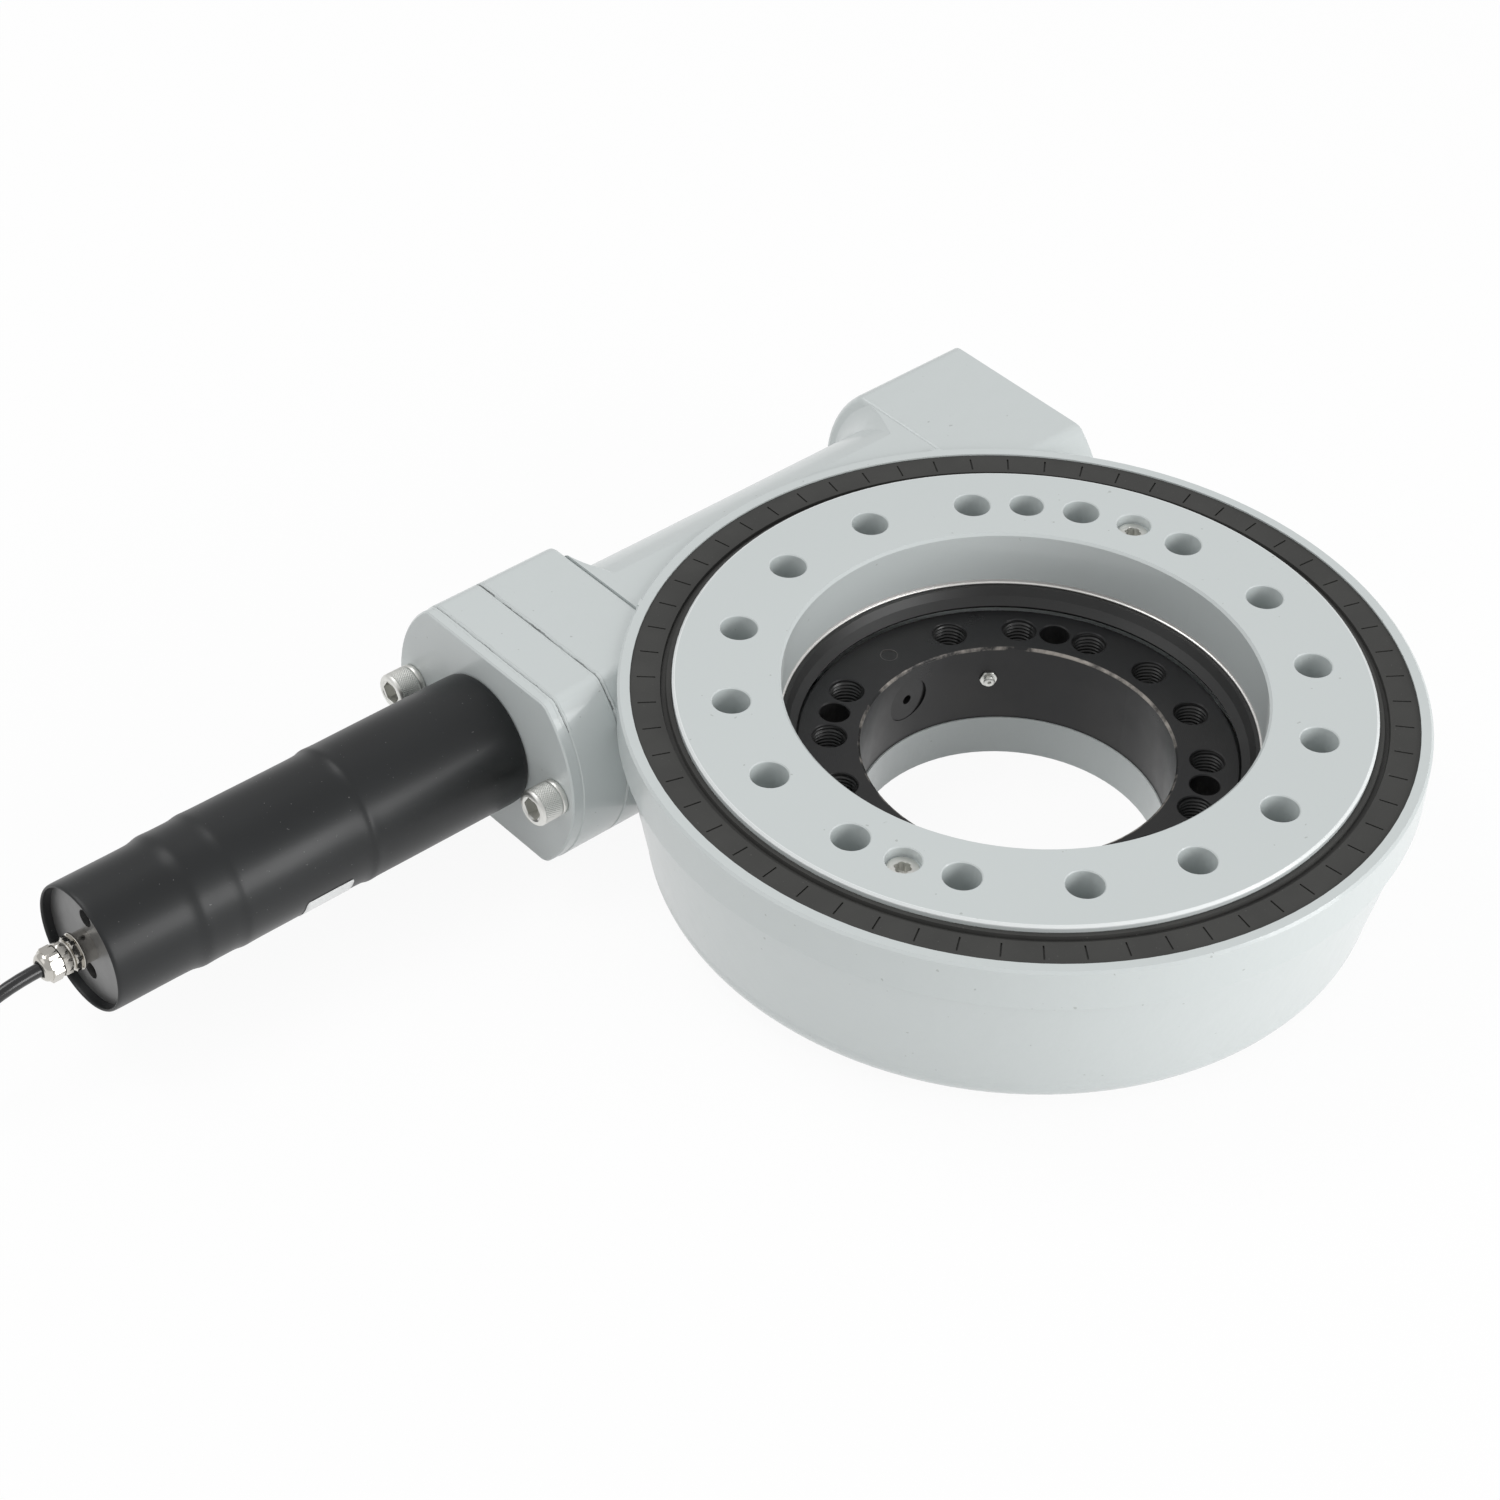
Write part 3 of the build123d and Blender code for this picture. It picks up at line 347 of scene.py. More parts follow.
# worn edge at the bore: partly real wear, partly a painted highlight on the chamfer, mottled by noise
worn_and_highlight = phosphate.math(
    "MULTIPLY",
    phosphate.band(distance, WORN_HIGHLIGHT_IN, WORN_HIGHLIGHT_OUT, 0.25 * MM),
    phosphate.ramp(phosphate.noise(55, 5, rough=0.7), 0.42, 0.62),
)
worn_and_highlight = phosphate.math("MULTIPLY", worn_and_highlight, phosphate.band(height, WORN_HIGHLIGHT_LOW, WORN_HIGHLIGHT_HIGH, 0.3 * MM))
phosphate.mix_color(phosphate.ramp(phosphate.noise(24, 4), 0.4, 0.7, 0, 0.6), (0.028, 0.027, 0.026))
phosphate.mix_color(worn_and_highlight, (0.36, 0.33, 0.30))
split = phosphate.node("ShaderNodeSeparateXYZ")
phosphate.link(phosphate.place, split.inputs[0])
off = phosphate.math("SUBTRACT", split.outputs[1], INNER_CIRCLE)
reach = phosphate.math(
    "SQRT",
    phosphate.math(
        "ADD",
        phosphate.math("MULTIPLY", split.outputs[0], split.outputs[0]),
        phosphate.math("MULTIPLY", off, off),
    ),
)
pin_low, pin_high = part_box("fill_plug_pin")
pin_edge = 0.5 * (pin_high.x - pin_low.x)
rim = phosphate.band(reach, pin_edge - 0.25 * MM, pin_edge + 0.25 * MM, 0.15 * MM)
phosphate.mix_color(phosphate.math("MULTIPLY", rim, 0.7), (0.12, 0.115, 0.11))
phosphate.bump(phosphate.math("SUBTRACT", 1.0, rim), 0.4, 0.0006)
phosphate.rough(phosphate.ramp(phosphate.noise(40, 4), 0.3, 0.7, 0.26, 0.42))

dark_thread = Paint("oiled_thread", (0.045, 0.045, 0.045), 0.3, metallic=0.5)
dark_thread.bump(dark_thread.noise(1500, 2), 0.1, 0.0001)

black_rubber = Paint("lip_rubber", (0.016, 0.016, 0.016), 0.42)
black_rubber.mix_color(black_rubber.ramp(black_rubber.noise(40, 3), 0.4, 0.7, 0, 0.6), (0.024, 0.024, 0.024))
black_rubber.bump(black_rubber.noise(900, 2), 0.1, 0.0001)

rubber = Paint("seal_rubber", (0.042, 0.042, 0.040), 0.62, specular=0.35)
rubber.mix_color(rubber.ramp(rubber.noise(30, 4), 0.35, 0.7, 0, 0.7), (0.055, 0.055, 0.052))
rubber.mix_color(rubber.ramp(rubber.noise(700, 2), 0.70, 0.76, 0, 0.5), (0.12, 0.12, 0.115))
rubber.bump(rubber.noise(1400, 2), 0.15, 0.0001)

zinc = Paint("zinc_steel", (0.78, 0.78, 0.75), 0.4, metallic=1.0)
zinc.mix_color(zinc.ramp(zinc.noise(90, 3), 0.4, 0.75, 0, 0.5), (0.62, 0.62, 0.59))
zinc.rough(zinc.ramp(zinc.noise(200, 3), 0.3, 0.7, 0.34, 0.5))
zinc.bump(zinc.noise(900, 3), 0.12, 0.0001)

steel = Paint("ground_steel", (0.62, 0.62, 0.63), 0.22, metallic=1.0)
steel.rough(steel.ramp(steel.noise(300, 3), 0.3, 0.7, 0.16, 0.3))
steel.bump(steel.noise(1200, 2, stretch=(0.1, 1, 1)), 0.06, 0.0001)

bright_steel = Paint("turned_edge", (0.88, 0.87, 0.85), 0.32, metallic=0.85)
bright_steel.rough(bright_steel.ramp(bright_steel.noise(60, 3), 0.3, 0.7, 0.26, 0.42))

plate = Paint("motor_plate", (0.20, 0.20, 0.20), 0.36, metallic=0.7)
plate.mix_color(plate.ramp(plate.noise(80, 4), 0.4, 0.7, 0, 0.6), (0.26, 0.26, 0.26))
plate.bump(plate.noise(1600, 2, stretch=(1, 0.15, 1)), 0.14, 0.0001)

sleeve = Paint("motor_sleeve", (0.008, 0.0088, 0.0096), 0.44, specular=0.38, coat=0.1, coat_rough=0.24)
drift = sleeve.ramp(sleeve.noise(16, 4, stretch=(0.4, 1, 1)), 0.35, 0.7, 0, 0.7)
sleeve.mix_color(drift, (0.015, 0.017, 0.018))
sleeve.mix_color(sleeve.ramp(sleeve.noise(800, 1), 0.765, 0.80, 0, 0.6), (0.16, 0.16, 0.16))
sleeve.rough(sleeve.ramp(sleeve.noise(16, 2), 0.25, 0.75, 0.38, 0.48))
sleeve.bump(sleeve.noise(22, 2, stretch=(0.5, 1, 1)), 0.10, 0.002)
sleeve.bump(sleeve.noise(1300, 2), 0.05, 0.0001)

nickel = Paint("nickel", (0.60, 0.58, 0.54), 0.2, metallic=1.0)
nickel.rough(nickel.ramp(nickel.noise(200, 2), 0.3, 0.7, 0.16, 0.26))
nickel.mix_color(nickel.ramp(nickel.noise(60, 2), 0.4, 0.75, 0, 0.5), (0.48, 0.46, 0.42))

cable_black = Paint("cable_black", (0.012, 0.012, 0.013), 0.22, coat=0.3, coat_rough=0.12)
cable_black.bump(cable_black.noise(160, 3), 0.1, 0.0005)
cable_black.rough(cable_black.ramp(cable_black.noise(70, 3), 0.3, 0.7, 0.18, 0.32))

connector_black = Paint("connector_black", (0.016, 0.016, 0.017), 0.42)
drift = connector_black.ramp(connector_black.noise(90, 3), 0.4, 0.7, 0, 0.6)
connector_black.mix_color(drift, (0.024, 0.024, 0.025))
connector_black.bump(connector_black.noise(1100, 2), 0.12, 0.0001)

label_white = Paint("label_film", (0.80, 0.81, 0.81), 0.32, coat=0.3)
label_white.mix_color(label_white.ramp(label_white.noise(120, 3), 0.4, 0.7, 0, 0.5), (0.74, 0.75, 0.75))
label_white.bump(label_white.noise(300, 2), 0.05, 0.0002)

nylon = Paint("nylon", (0.78, 0.76, 0.68), 0.45)
nylon.mix_color(nylon.ramp(nylon.noise(90, 3), 0.4, 0.7, 0, 0.6), (0.70, 0.68, 0.60))
nylon.bump(nylon.noise(700, 2), 0.1, 0.0001)

FINISHES = {
    "grey_paint": enamel_smooth,
    "black_phosphate": phosphate,
    "bearing_steel": steel,
    "zinc_steel": zinc,
    "seal_rubber": rubber,
    "motor_sleeve": sleeve,
    "nickel": nickel,
    "cable_black": cable_black,
    "nylon": nylon,
}


def dress(piece, finish):
    """Gives a piece its one material."""
    piece.data.materials.clear()
    piece.data.materials.append(finish.material)


slots = {entry["node"]: entry["material_slot"] for entry in frame["record"]["subparts"]}
special = {
    "housing": enamel_cast,
    "ring_gear": enamel_ring,
    "motor_adapter": enamel_block,
    "motor_flange": enamel_block,
    "motor_end_plate": plate,
    "lip_seal": black_rubber,
}
for name, item in nodes.items():
    finish = special.get(name, FINISHES[slots[name]])
    for slot in item.material_slots:
        slot.material = finish.material


# ---------------------------------------- cable, from the gland to its plug
COIL_X, COIL_Y = -566 * MM, 215.75 * MM
STRAND = 6.5 * MM
TAIL = 30 * MM
COIL_INNER, COIL_OUTER = 34.75 * MM, 41.25 * MM
LAYER_LOW, LAYER_HIGH = 3.3 * MM, 9.85 * MM
COIL_TURN, COIL_STEP = 1260, 22.5  # degrees
route = [
    (GLAND_TIP + 2 * MM, AXIS_Y, AXIS_Z),
    (GLAND_TIP - 14 * MM, AXIS_Y, AXIS_Z),
    (GLAND_TIP - 36 * MM, AXIS_Y, AXIS_Z - 7 * MM),
    (GLAND_TIP - 82 * MM, AXIS_Y, LAYER_LOW),
    (COIL_X + TAIL, COIL_Y - COIL_OUTER, LAYER_LOW),
]
# a curve of order 3 passes inside its control points, at this share of their radius
pull = 0.75 + 0.25 * cos(tau / 16)


def layer(turned, steps):
    """Value at an angle, from (angle, value) steps with straight ramps between."""
    for (a, va), (b, vb) in zip(steps, steps[1:]):
        if turned <= b:
            return va + (vb - va) * max(0.0, (turned - a) / (b - a))
    return steps[-1][1]


radius_steps = [(0, COIL_OUTER), (290, COIL_OUTER), (350, COIL_INNER)]
radius_steps += [(890, COIL_INNER), (950, COIL_OUTER), (COIL_TURN, COIL_OUTER)]
height_steps = [(0, LAYER_LOW), (590, LAYER_LOW), (650, LAYER_HIGH), (COIL_TURN, LAYER_HIGH)]
for k in range(int(COIL_TURN / COIL_STEP) + 1):
    turned = COIL_STEP * k
    angle = radians(-90 - turned)
    r = layer(turned, radius_steps) / pull
    route.append((COIL_X + r * cos(angle), COIL_Y + r * sin(angle), layer(turned, height_steps)))
PLUG_X, PLUG_Y, PLUG_Z = COIL_X + TAIL, COIL_Y + COIL_OUTER, 8.0 * MM
route.append((COIL_X + 0.5 * TAIL, PLUG_Y, 9.2 * MM))
route.append((PLUG_X, PLUG_Y, PLUG_Z))
line = bpy.data.curves.new("cable_line", "CURVE")
line.dimensions = "3D"
spline = line.splines.new("NURBS")
spline.points.add(len(route) - 1)
for point, place in zip(spline.points, route):
    point.co = (*place, 1)
spline.order_u = 3
spline.use_endpoint_u = True
spline.resolution_u = 5
line.bevel_depth = STRAND / 2
line.bevel_resolution = 5
cable = bpy.data.objects.new("power_lead", line)
scene.collection.objects.link(cable)
line.materials.append(cable_black.material)
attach(cable, "base")
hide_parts("cable", "cable_coil")
# the lead's length is measured on its own curve, without the bevel
bare_line = line.copy()
bare_line.bevel_depth = 0
probe = bpy.data.objects.new("probe", bare_line)
path_mesh = bpy.data.meshes.new_from_object(probe)
points = [v.co.copy() for v in path_mesh.vertices]
lead_length = sum((b - a).length for a, b in zip(points, points[1:]))
bpy.data.objects.remove(probe)
print("lead length", round(lead_length, 4))

# ---------------------------------------- connector at the lead's end
GRIP_START, GRIP_END, GRIP_R = 27.5 * MM, 38 * MM, 7.5 * MM
GRIP_DEPTH, GRIP_COUNT = 0.55 * MM, 14
CONTACT_CIRCLE, CONTACT_COUNT = 2.6 * MM, 3


def plug_place(x, radius, angle):
    """Point on the connector's axis, from the lead's end outwards."""
    return along_x(PLUG_X + x, radius, angle, y=PLUG_Y, z=PLUG_Z)


def grips(angle, position, radius):
    """Finger grips round the coupling ring."""
    held = GRIP_START < position < GRIP_END and radius > GRIP_R
    return radius - (GRIP_DEPTH * max(0.0, cos(GRIP_COUNT * angle)) if held else 0.0)


profile = [(-1.0, 3.0), (0.0, 3.6), (0.4, 4.3), (1.4, 4.3), (1.6, 3.7), (2.4, 3.7), (2.6, 4.6)]
profile += [(3.6, 4.6), (3.8, 4.0), (4.6, 4.0), (4.8, 5.0), (6.0, 5.0), (6.2, 6.1), (6.8, 6.5)]
profile += [(17.0, 6.5), (17.4, 6.1), (18.4, 6.1)]
profile += [(18.8, 6.5), (25.6, 6.5), (26.0, 7.0), (26.3, 7.9), (27.0, 8.0), (28.0, 8.0), (31.0, 8.0)]
profile += [(34.0, 8.0), (37.5, 8.0), (38.6, 8.0), (39.6, 7.9), (40.0, 7.5), (40.0, 6.3), (39.7, 6.0)]
profile += [(31.5, 6.0), (31.4, 0.05)]
shell = lathe("plug_shell", [(x * MM, r * MM) for x, r in profile], plug_place, 112, shape=grips)
pieces = [shell]
for k in range(CONTACT_COUNT):
    angle = radians(90 + 120 * k)
    dy, dz = CONTACT_CIRCLE * cos(angle), CONTACT_CIRCLE * sin(angle)
    pieces.append(
        lathe(
            f"pin_{k}",
            [(31.2 * MM, 0.8 * MM), (37.5 * MM, 0.8 * MM), (38.1 * MM, 0.5 * MM), (38.2 * MM, 0.05 * MM)],
            lambda x, r, a: along_x(PLUG_X + x, r, a, y=PLUG_Y + dy, z=PLUG_Z + dz),
            16,
        )
    )
plug = join("lead_connector", pieces)
dress(plug, connector_black)
edge_split(plug, 35)
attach(plug, "base")
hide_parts("cable_connector")


# ---------------------------------------- flange bolts: knurled heads on spring washers
HEAD_FRONT, HEAD_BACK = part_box("flange_bolts")[0].x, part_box("flange_washers")[0].x
BOLT_SPAN = 53.2 * MM
HEAD_R = 9 * MM
SOCKET_FLATS, SOCKET_DEPTH = 10 * MM, 7.0 * MM
KNURL_DEPTH, KNURL_RISE, KNURL_COUNT = 0.28 * MM, 1.5 * MM, 22


def socket_head(name, y):
    """Head of a socket screw facing -X: knurled side, rounded rim, hexagon socket."""
    depth = HEAD_BACK - HEAD_FRONT

    def knurl(angle, position, radius):
        """Diamond knurl on the side of the head, with a plain band at each end."""
        if not (0.14 * depth < position < 0.9 * depth and radius > 0.99 * HEAD_R):
            return radius
        climb = pi * position / KNURL_RISE
        one, other = sin(KNURL_COUNT * angle + climb), sin(KNURL_COUNT * angle - climb)
        return radius - KNURL_DEPTH * (1 - abs(one) * abs(other))

    side = [(0.0, 0.70), (0.0, 0.80), (0.02, 0.90), (0.07, 0.965), (0.13, 0.99), (0.14, 1.0)]
    profile = [(depth * a, HEAD_R * r) for a, r in side]
    profile += [(depth * (0.14 + 0.75 * k / 26), HEAD_R) for k in range(1, 27)]
    profile += [(depth * 0.93, 0.985 * HEAD_R), (depth, 0.95 * HEAD_R)]

    def place(position, radius, angle):
        return along_x(HEAD_FRONT + position, radius, angle, y=y)

    head = lathe(name, profile, place, 264, shape=knurl)
    verts = []
    corner_r = SOCKET_FLATS / 2 / cos(pi / 6)
    rows = [
        (0.0, 0.70 * HEAD_R, False),
        (0.3 * MM, 0.668 * HEAD_R, False),
        (0.5 * MM, corner_r, True),
        (0.7 * MM, corner_r, True),
        (SOCKET_DEPTH, corner_r, True),
        (SOCKET_DEPTH + 1.4 * MM, 0.02 * MM, True),
    ]
    count = 48
    for position, radius, hexagon in rows:
        for k in range(count):
            angle = tau * k / count
            r = radius
            if hexagon:
                corner = (angle % (tau / 6)) - tau / 12
                r = radius * cos(pi / 6) / cos(corner)
            verts.append(place(position, r, angle))
    socket = mesh_object(name + "_socket", verts, rings(len(rows), count))
    return join(name, [head, socket])


def spring_washer(name, y):
    """Split lock washer between the head and the flange."""
    thick = MOTOR_FRONT - HEAD_BACK
    verts = []
    section = [(6.4, 0.08), (6.4, 0.92), (6.6, 1.0), (8.6, 1.0)]
    section += [(8.8, 0.9), (8.8, 0.1), (8.6, 0.0), (6.6, 0.0)]
    steps = 60
    for k in range(steps + 1):
        angle = radians(8) + (tau - radians(7)) * k / steps
        for radius, share in section:
            lift = 0.1 * thick * (k / steps - 0.5)
            x = HEAD_BACK + thick * (0.06 + 0.88 * share) + lift
            verts.append(along_x(x, radius * MM, angle, y=y))
    n = len(section)
    faces = rings(steps + 1, n)
    faces.append(tuple(range(n)))
    faces.append(tuple(steps * n + i for i in reversed(range(n))))
    return mesh_object(name, verts, faces)


spots = (AXIS_Y - BOLT_SPAN, AXIS_Y + BOLT_SPAN)
heads = join("socket_heads", [socket_head(f"head_{k}", y) for k, y in enumerate(spots)])
dress(heads, zinc)
edge_split(heads, 32)
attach(heads, "base")
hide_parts("flange_bolts")
washers = join("spring_washers", [spring_washer(f"washer_{k}", y) for k, y in enumerate(spots)])
dress(washers, zinc)
edge_split(washers, 40)
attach(washers, "base")
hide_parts("flange_washers")

# ---------------------------------------- motor sleeve: shrunk film over the motor's steps
REAR_R, BAND_R, MID_R, FRONT_R = 31.0 * MM, 32.1 * MM, 32.6 * MM, 33.3 * MM
# millimetres back from the motor's front face, and the film's radius there
stations = [
    (0.0, FRONT_R - 1.6 * MM),
    (0.6, FRONT_R - 0.5 * MM),
    (2.2, FRONT_R),
    (60, FRONT_R),
    (83, FRONT_R - 0.05 * MM),
    (86.0, FRONT_R + 0.25 * MM),
    (87.6, FRONT_R + 0.1 * MM),
    (89.5, MID_R),
    (100, MID_R - 0.1 * MM),
    (150, MID_R),
    (154.5, MID_R + 0.25 * MM),
    (156.2, MID_R + 0.15 * MM),
    (159, BAND_R),
    (171, BAND_R),
    (175.4, BAND_R + 0.3 * MM),
    (177.5, BAND_R + 0.05 * MM),
    (181, REAR_R + 0.1 * MM),
    (190, REAR_R),
    (221.0, REAR_R),
    (222.8, REAR_R - 0.1 * MM),
    (223.6, REAR_R - 0.45 * MM),
    (223.95, REAR_R - 1.0 * MM),
    (223.6, REAR_R - 1.6 * MM),
    (222.0, REAR_R - 1.9 * MM),
    (218.0, REAR_R - 1.9 * MM),
]
profile = []
for (a, ra), (b, rb) in zip(stations, stations[1:]):
    parts = max(1, min(6, int(abs(b - a) / 4)))
    for k in range(parts):
        profile.append((MOTOR_FRONT - (a + (b - a) * k / parts) * MM, ra + (rb - ra) * k / parts))
profile.append((MOTOR_FRONT - stations[-1][0] * MM, stations[-1][1]))
sleeve_skin = lathe("motor_sleeve", profile, along_x, 144)
dress(sleeve_skin, sleeve)
smooth = sleeve_skin.modifiers.new("smooth", "SUBSURF")
smooth.levels = smooth.render_levels = 1
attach(sleeve_skin, "base")
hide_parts("motor_case")

# film label left bare, on the lower side of the sleeve
LABEL_X, LABEL_LENGTH = MOTOR_FRONT - 112 * MM, 26 * MM
LABEL_START, LABEL_SWEEP = 196, 30  # degrees round the motor
verts = []
columns, rows = 12, 8
for i in range(rows + 1):
    angle = radians(LABEL_START + LABEL_SWEEP * i / rows)
    for k in range(columns + 1):
        u = k / columns - 0.5
        corner = 1.0 - 0.06 * (abs(i / rows - 0.5) > 0.42)
        verts.append(along_x(LABEL_X + LABEL_LENGTH * u * corner, MID_R + 0.12 * MM, angle))
label = mesh_object("blank_label", verts, grid(rows, columns))
dress(label, label_white)
thick = label.modifiers.new("film", "SOLIDIFY")
thick.thickness = 0.08 * MM
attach(label, "base")

# ---------------------------------------- cable gland, from the end plate to the cable
PLATE_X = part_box("motor_end_plate")[0].x
NUT_BORE = 5.5 * MM


def gland_place(x, radius, angle):
    """Point on the gland's axis, away from the motor's end plate."""
    return along_x(PLATE_X - x, radius, angle)


def polygon_nut(name, start, end, across, sides, turn_by=0.0, chamfer=0.5 * MM):
    """Nut with chamfered corners on the gland's axis, from start to end, away from the plate."""
    corner = across / 2 / cos(pi / sides)

    def shape(angle, position, radius):
        wedge = ((angle + turn_by) % (tau / sides)) - pi / sides
        return min(radius, across / 2 / cos(wedge))

    rounded = across / 2 + 0.25 * MM
    profile = [
        (start, NUT_BORE),
        (start, rounded - chamfer * 0.2),
        (start + chamfer, corner),
        (end - chamfer, corner),
        (end, rounded - chamfer * 0.2),
        (end, NUT_BORE),
    ]
    return lathe(name, profile, gland_place, 120, shape=shape)


def ring_turned(name, profile):
    """Turned ring on the gland's axis, from millimetres."""
    return lathe(name, [(x * MM, r * MM) for x, r in profile], gland_place, 72)


neck = [(10.4, 5), (10.4, 6.6), (10.9, 6.9), (11.4, 6.6), (11.9, 6.9), (12.4, 6.6), (12.4, 5)]
dome = [(21.8, 5), (21.8, 6.9), (22.6, 6.8), (23.9, 6.2)]
dome += [(24.7, 5.2), (24.95, 4.4), (24.6, 3.9), (23.0, 3.7)]
parts = [
    ring_turned("collar", [(-1, 6.2), (-1, 7.4), (0.3, 7.6), (5.6, 7.6), (5.9, 7.3), (5.9, 5)]),
    ring_turned("disc", [(5.9, 5), (5.9, 8.5), (6.2, 8.8), (7.0, 8.8), (7.2, 8.6), (7.2, 5)]),
    polygon_nut("lock_nut", 7.2 * MM, 10.4 * MM, 14.6 * MM, 6, 0.3),
    ring_turned("neck", neck),
    polygon_nut("body_nut", 12.4 * MM, 16.0 * MM, 15.0 * MM, 6, 0.75),
    polygon_nut("dome_nut", 16.3 * MM, 22.0 * MM, 14.4 * MM, 6, 0.1),
    ring_turned("dome", dome),
]
gland = join("cable_gland", parts)
dress(gland, nickel)
edge_split(gland, 30)
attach(gland, "base")
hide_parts("gland_body", "gland_nut")
lip = [(22.5, 4.1), (24.4, 4.1), (24.9, 3.9), (24.95, 3.5), (24.4, 3.3), (23.0, 3.3)]
bush = lathe("gland_bush", [(x * MM, r * MM) for x, r in lip], gland_place, 48)
dress(bush, rubber)
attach(bush, "base")

# ---------------------------------------- threads of the inner ring's holes
RING_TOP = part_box("inner_ring")[1].z
PITCH = 2.0 * MM
THREAD_TURNS = 12
ROOT_R, CREST_R = 7.93 * MM, 6.95 * MM
MOUTH = 0.8 * MM
HOLE_POSITIONS, PIN_POSITION = 16, 4


def thread(name, x, y, top, turns, root, crest, pitch, start=0.0):
    """Inside thread as one helical ridged wall running down from a hole's mouth."""
    per_turn, around = 6, 36
    wave = (0.0, 0.35, 0.8, 1.0, 0.8, 0.35)
    verts = []
    rows = turns * per_turn
    for row in range(rows + 1):
        for k in range(around + 1):
            phase = row / per_turn - k / around + start
            ridge = wave[int(round(phase * per_turn)) % per_turn]
            fade = min(1.0, row / per_turn)
            radius = root - (root - crest) * ridge * fade
            verts.append(about_z(top - row * pitch / per_turn, radius, tau * k / around, x, y))
    mesh = bpy.data.meshes.new(name)
    mesh.from_pydata(verts, [], grid(rows, around))
    for face in mesh.polygons:
        face.use_smooth = True
    return bpy.data.objects.new(name, mesh)


threads = []
for k in range(HOLE_POSITIONS):
    if k == PIN_POSITION:
        continue
    angle = radians(22.5 * k)
    x, y, _ = about_z(0, INNER_CIRCLE, angle)
    top = RING_TOP - MOUTH
    threads.append(thread(f"thread_{k}", x, y, top, THREAD_TURNS, ROOT_R, CREST_R, PITCH, k * 0.37))
threaded = join("base_threads", threads)
dress(threaded, dark_thread)
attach(threaded, "base")

# ---------------------------------------- bare edge low in the ring gear's bore
EDGE_R, EDGE_Z = 111.2 * MM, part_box("lip_seal")[1].z + 0.5 * MM
BEAD_R = 0.6 * MM
section = [(BEAD_R * cos(tau * k / 10), BEAD_R * sin(tau * k / 10)) for k in range(10)]
bare_edge = lathe(
    "bore_edge",
    [(EDGE_Z + up, EDGE_R + out) for out, up in section],
    about_z,
    240,
    closed=True,
)
dress(bare_edge, bright_steel)
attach(bare_edge, "output_ring")

# ---------------------------------------- grease nipple in the bore
NIPPLE_ANGLE = radians(55.5)
BORE_R, NIPPLE_Z = 73.2 * MM, 46 * MM
NIPPLE_HEX = 3.9 * MM


def nipple_place(inward, radius, angle):
    """Point on the nipple's axis, which runs from the bore's wall towards the slewing axis."""
    across, up = radius * cos(angle), radius * sin(angle)
    r = BORE_R - inward
    return (
        r * cos(NIPPLE_ANGLE) - across * sin(NIPPLE_ANGLE),
        r * sin(NIPPLE_ANGLE) + across * cos(NIPPLE_ANGLE),
        NIPPLE_Z + up,
    )


def hexagon(angle, position, radius):
    """Six flats on the base of the nipple."""
    if position > 1.0 * MM or radius < 3.0 * MM:
        return radius
    wedge = (angle % (tau / 6)) - tau / 12
    return min(radius, NIPPLE_HEX / cos(wedge))


profile = [(-1.5, 3.2), (-0.6, 4.3), (0.7, 4.3), (0.95, 4.0), (1.0, 2.6), (1.3, 2.0), (1.8, 1.9), (2.1, 2.3)]
profile += [(2.5, 2.75), (2.9, 2.8), (3.2, 2.5), (3.4, 1.9), (3.5, 1.2), (3.5, 0.95)]
profile += [(3.3, 0.8), (2.3, 0.7), (2.2, 0.05)]
nipple = lathe("grease_fitting", [(p * MM, r * MM) for p, r in profile], nipple_place, 60, shape=hexagon)
dress(nipple, zinc)
edge_split(nipple, 35)
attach(nipple, "base")
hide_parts("grease_nipple")

# ---------------------------------------- port plugs with a six-lobe recess
PLUG_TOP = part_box("port_plugs")[1].z


def lobed_plug(name, angle):
    """Plug's top: chamfered edge and a six-lobed recess."""
    x, y, _ = about_z(0, OUTPUT_CIRCLE, angle)
    count = 96

    def lobes(a):
        return 0.76 + 0.24 * abs(cos(3 * a)) ** 0.8

    verts = []
    rows = [
        (-6.0, 7.4, False),
        (-0.6, 7.4, False),
        (-0.1, 7.0, False),
        (0.0, 6.7, False),
        (0.0, 4.3, False),
        (0.0, 4.1, True),
        (-0.3, 3.9, True),
        (-5.0, 3.8, True),
        (-5.4, 0.1, True),
    ]
    for z, radius, lobed in rows:
        for k in range(count):
            a = tau * k / count
            r = radius * MM * (lobes(a) if lobed else 1.0)
            verts.append(about_z(PLUG_TOP + z * MM, r, a, x, y))
    return mesh_object(name, verts, rings(len(rows), count))


PLUG_ANGLES = (22.5, 202.5)
plugs = join("lobed_plugs", [lobed_plug(f"plug_{a}", radians(a)) for a in PLUG_ANGLES])
dress(plugs, zinc)
edge_split(plugs, 30)
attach(plugs, "output_ring")
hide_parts("port_plugs")

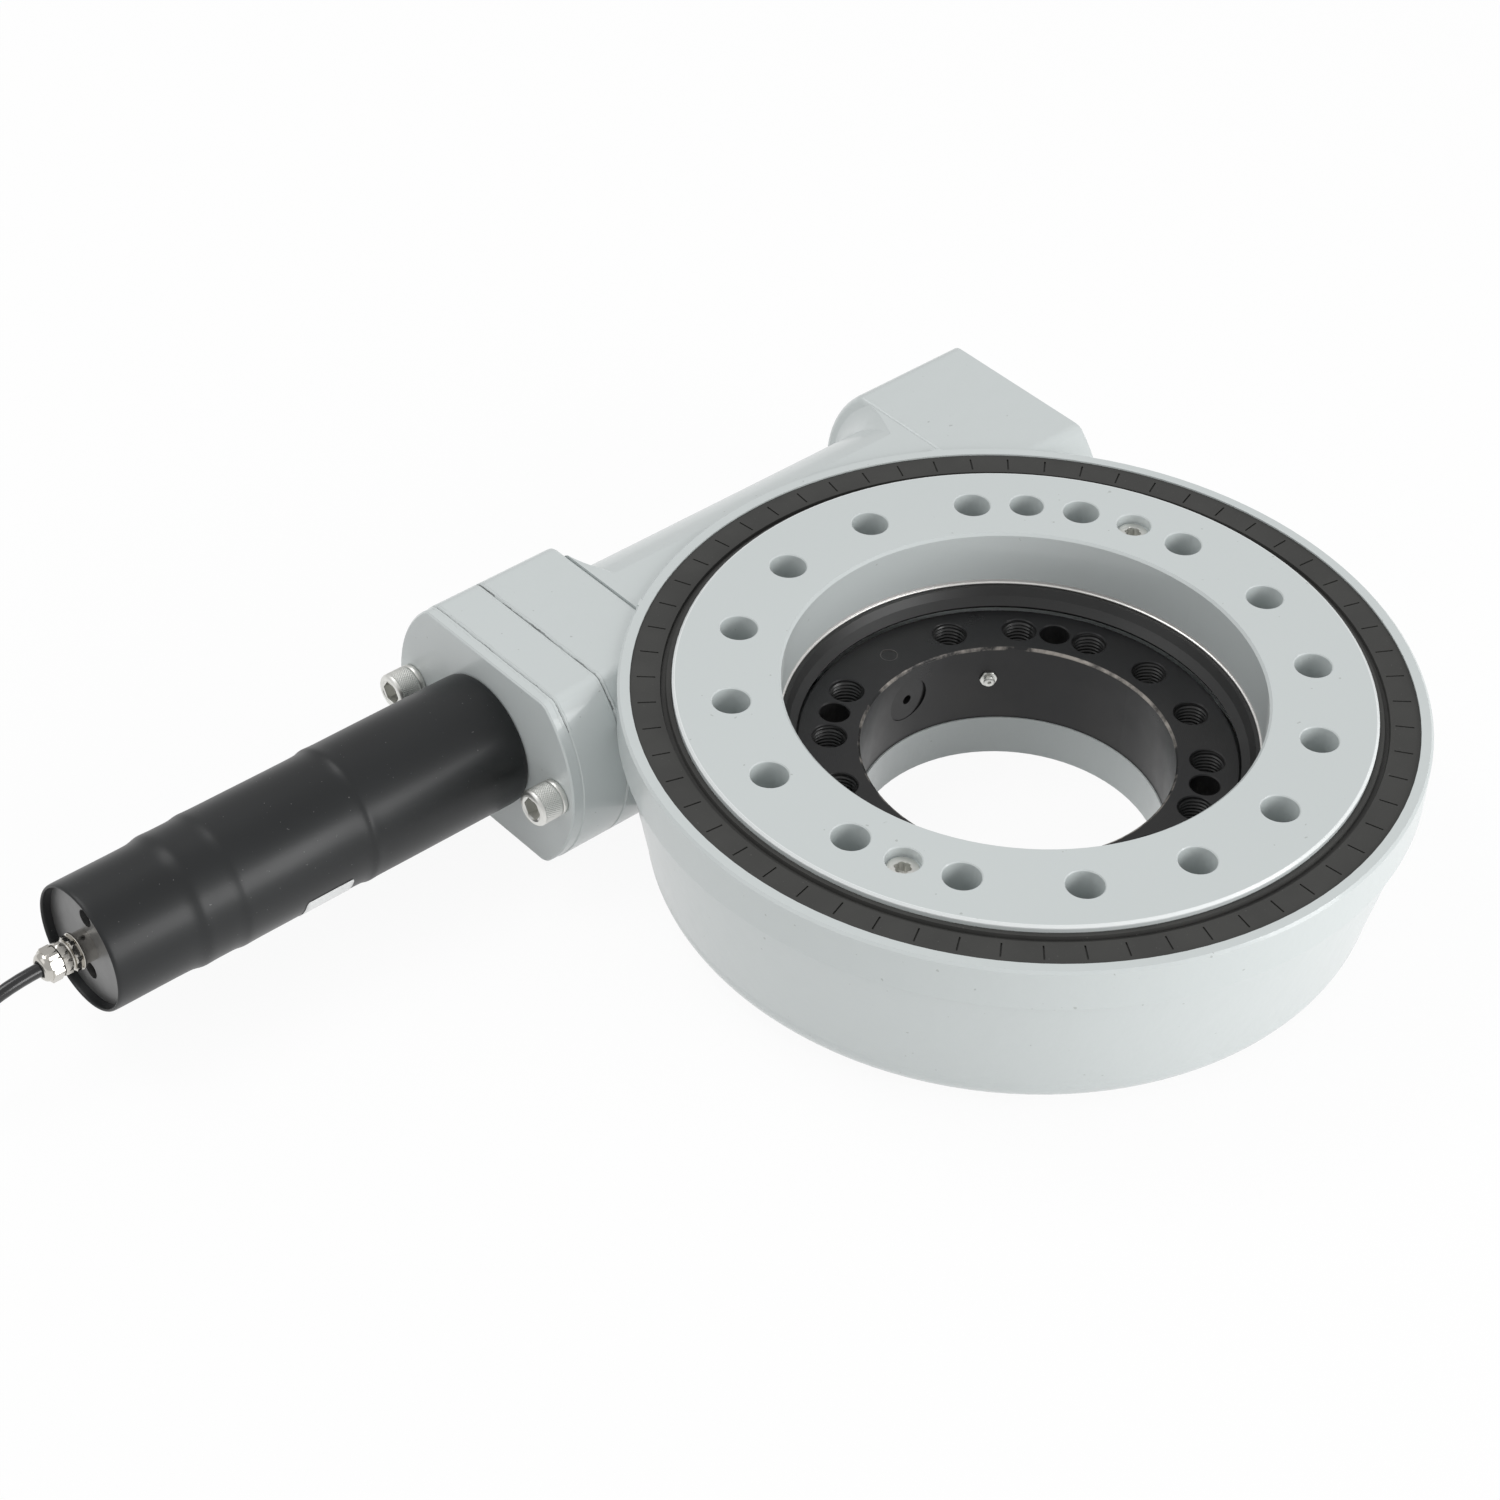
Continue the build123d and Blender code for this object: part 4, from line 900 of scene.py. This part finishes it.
# ---------------------------------------- floor, light and background
FLOOR_HALF, FLOOR_DROP = 12.0, 0.4 * MM
corners = [(x * FLOOR_HALF, y * FLOOR_HALF, 0) for x, y in ((-1, -1), (1, -1), (1, 1), (-1, 1))]
floor_mesh = bpy.data.meshes.new("floor")
floor_mesh.from_pydata(corners, [], [(0, 1, 2, 3)])
floor = bpy.data.objects.new("floor", floor_mesh)
scene.collection.objects.link(floor)
floor.location.z = -FLOOR_DROP
ground = Paint("floor", (0.9, 0.9, 0.9), 0.9, specular=0.1)
ray = ground.node("ShaderNodeLightPath")
glow = ground.node("ShaderNodeEmission")
glow.inputs["Color"].default_value = (1, 1, 1, 1)
glow.inputs["Strength"].default_value = 1.0
seen = ground.math("MAXIMUM", ray.outputs["Is Camera Ray"], ray.outputs["Is Glossy Ray"])
seen = ground.math("MAXIMUM", seen, ray.outputs["Is Transmission Ray"])
mixer = ground.node("ShaderNodeMixShader")
ground.link(ground.math("MULTIPLY", seen, 0.93), mixer.inputs[0])
ground.link(ground.bsdf.outputs[0], mixer.inputs[1])
ground.link(glow.outputs[0], mixer.inputs[2])
ground.link(mixer.outputs[0], ground.tree.nodes["Material Output"].inputs["Surface"])
dress(floor, ground)

world = bpy.data.worlds.new("studio")
scene.world = world
world.use_nodes = True
sky = world.node_tree
backdrop = sky.nodes["Background"]
ray = sky.nodes.new("ShaderNodeLightPath")
seen = sky.nodes.new("ShaderNodeMath")
seen.operation = "MAXIMUM"
sky.links.new(ray.outputs["Is Camera Ray"], seen.inputs[0])
sky.links.new(ray.outputs["Is Transmission Ray"], seen.inputs[1])
strength = sky.nodes.new("ShaderNodeMapRange")
strength.inputs["To Min"].default_value = 0.62
strength.inputs["To Max"].default_value = 1.0
sky.links.new(seen.outputs[0], strength.inputs["Value"])
sky.links.new(strength.outputs[0], backdrop.inputs["Strength"])
backdrop.inputs["Color"].default_value = (1, 1, 1, 1)


def softbox(name, place, target, size, power, tall=None):
    """An area lamp aimed at a point."""
    data = bpy.data.lights.new(name, "AREA")
    data.shape = "RECTANGLE"
    data.size = size
    data.size_y = tall or size
    data.energy = power
    lamp = bpy.data.objects.new(name, data)
    scene.collection.objects.link(lamp)
    lamp.location = place
    lamp.rotation_euler = (Vector(target) - Vector(place)).to_track_quat("-Z", "Y").to_euler()


softbox("key", (-0.6, 1.3, 2.5), (0, 0, 0), 1.3, 18)
softbox("fill", (-2.0, 0.6, 1.5), (-0.1, 0, 0), 1.4, 4)
softbox("front", (0.9, -2.3, 0.85), (0, 0, 0.05), 1.8, 38, 1.3)
scene.view_settings.view_transform = "Standard"
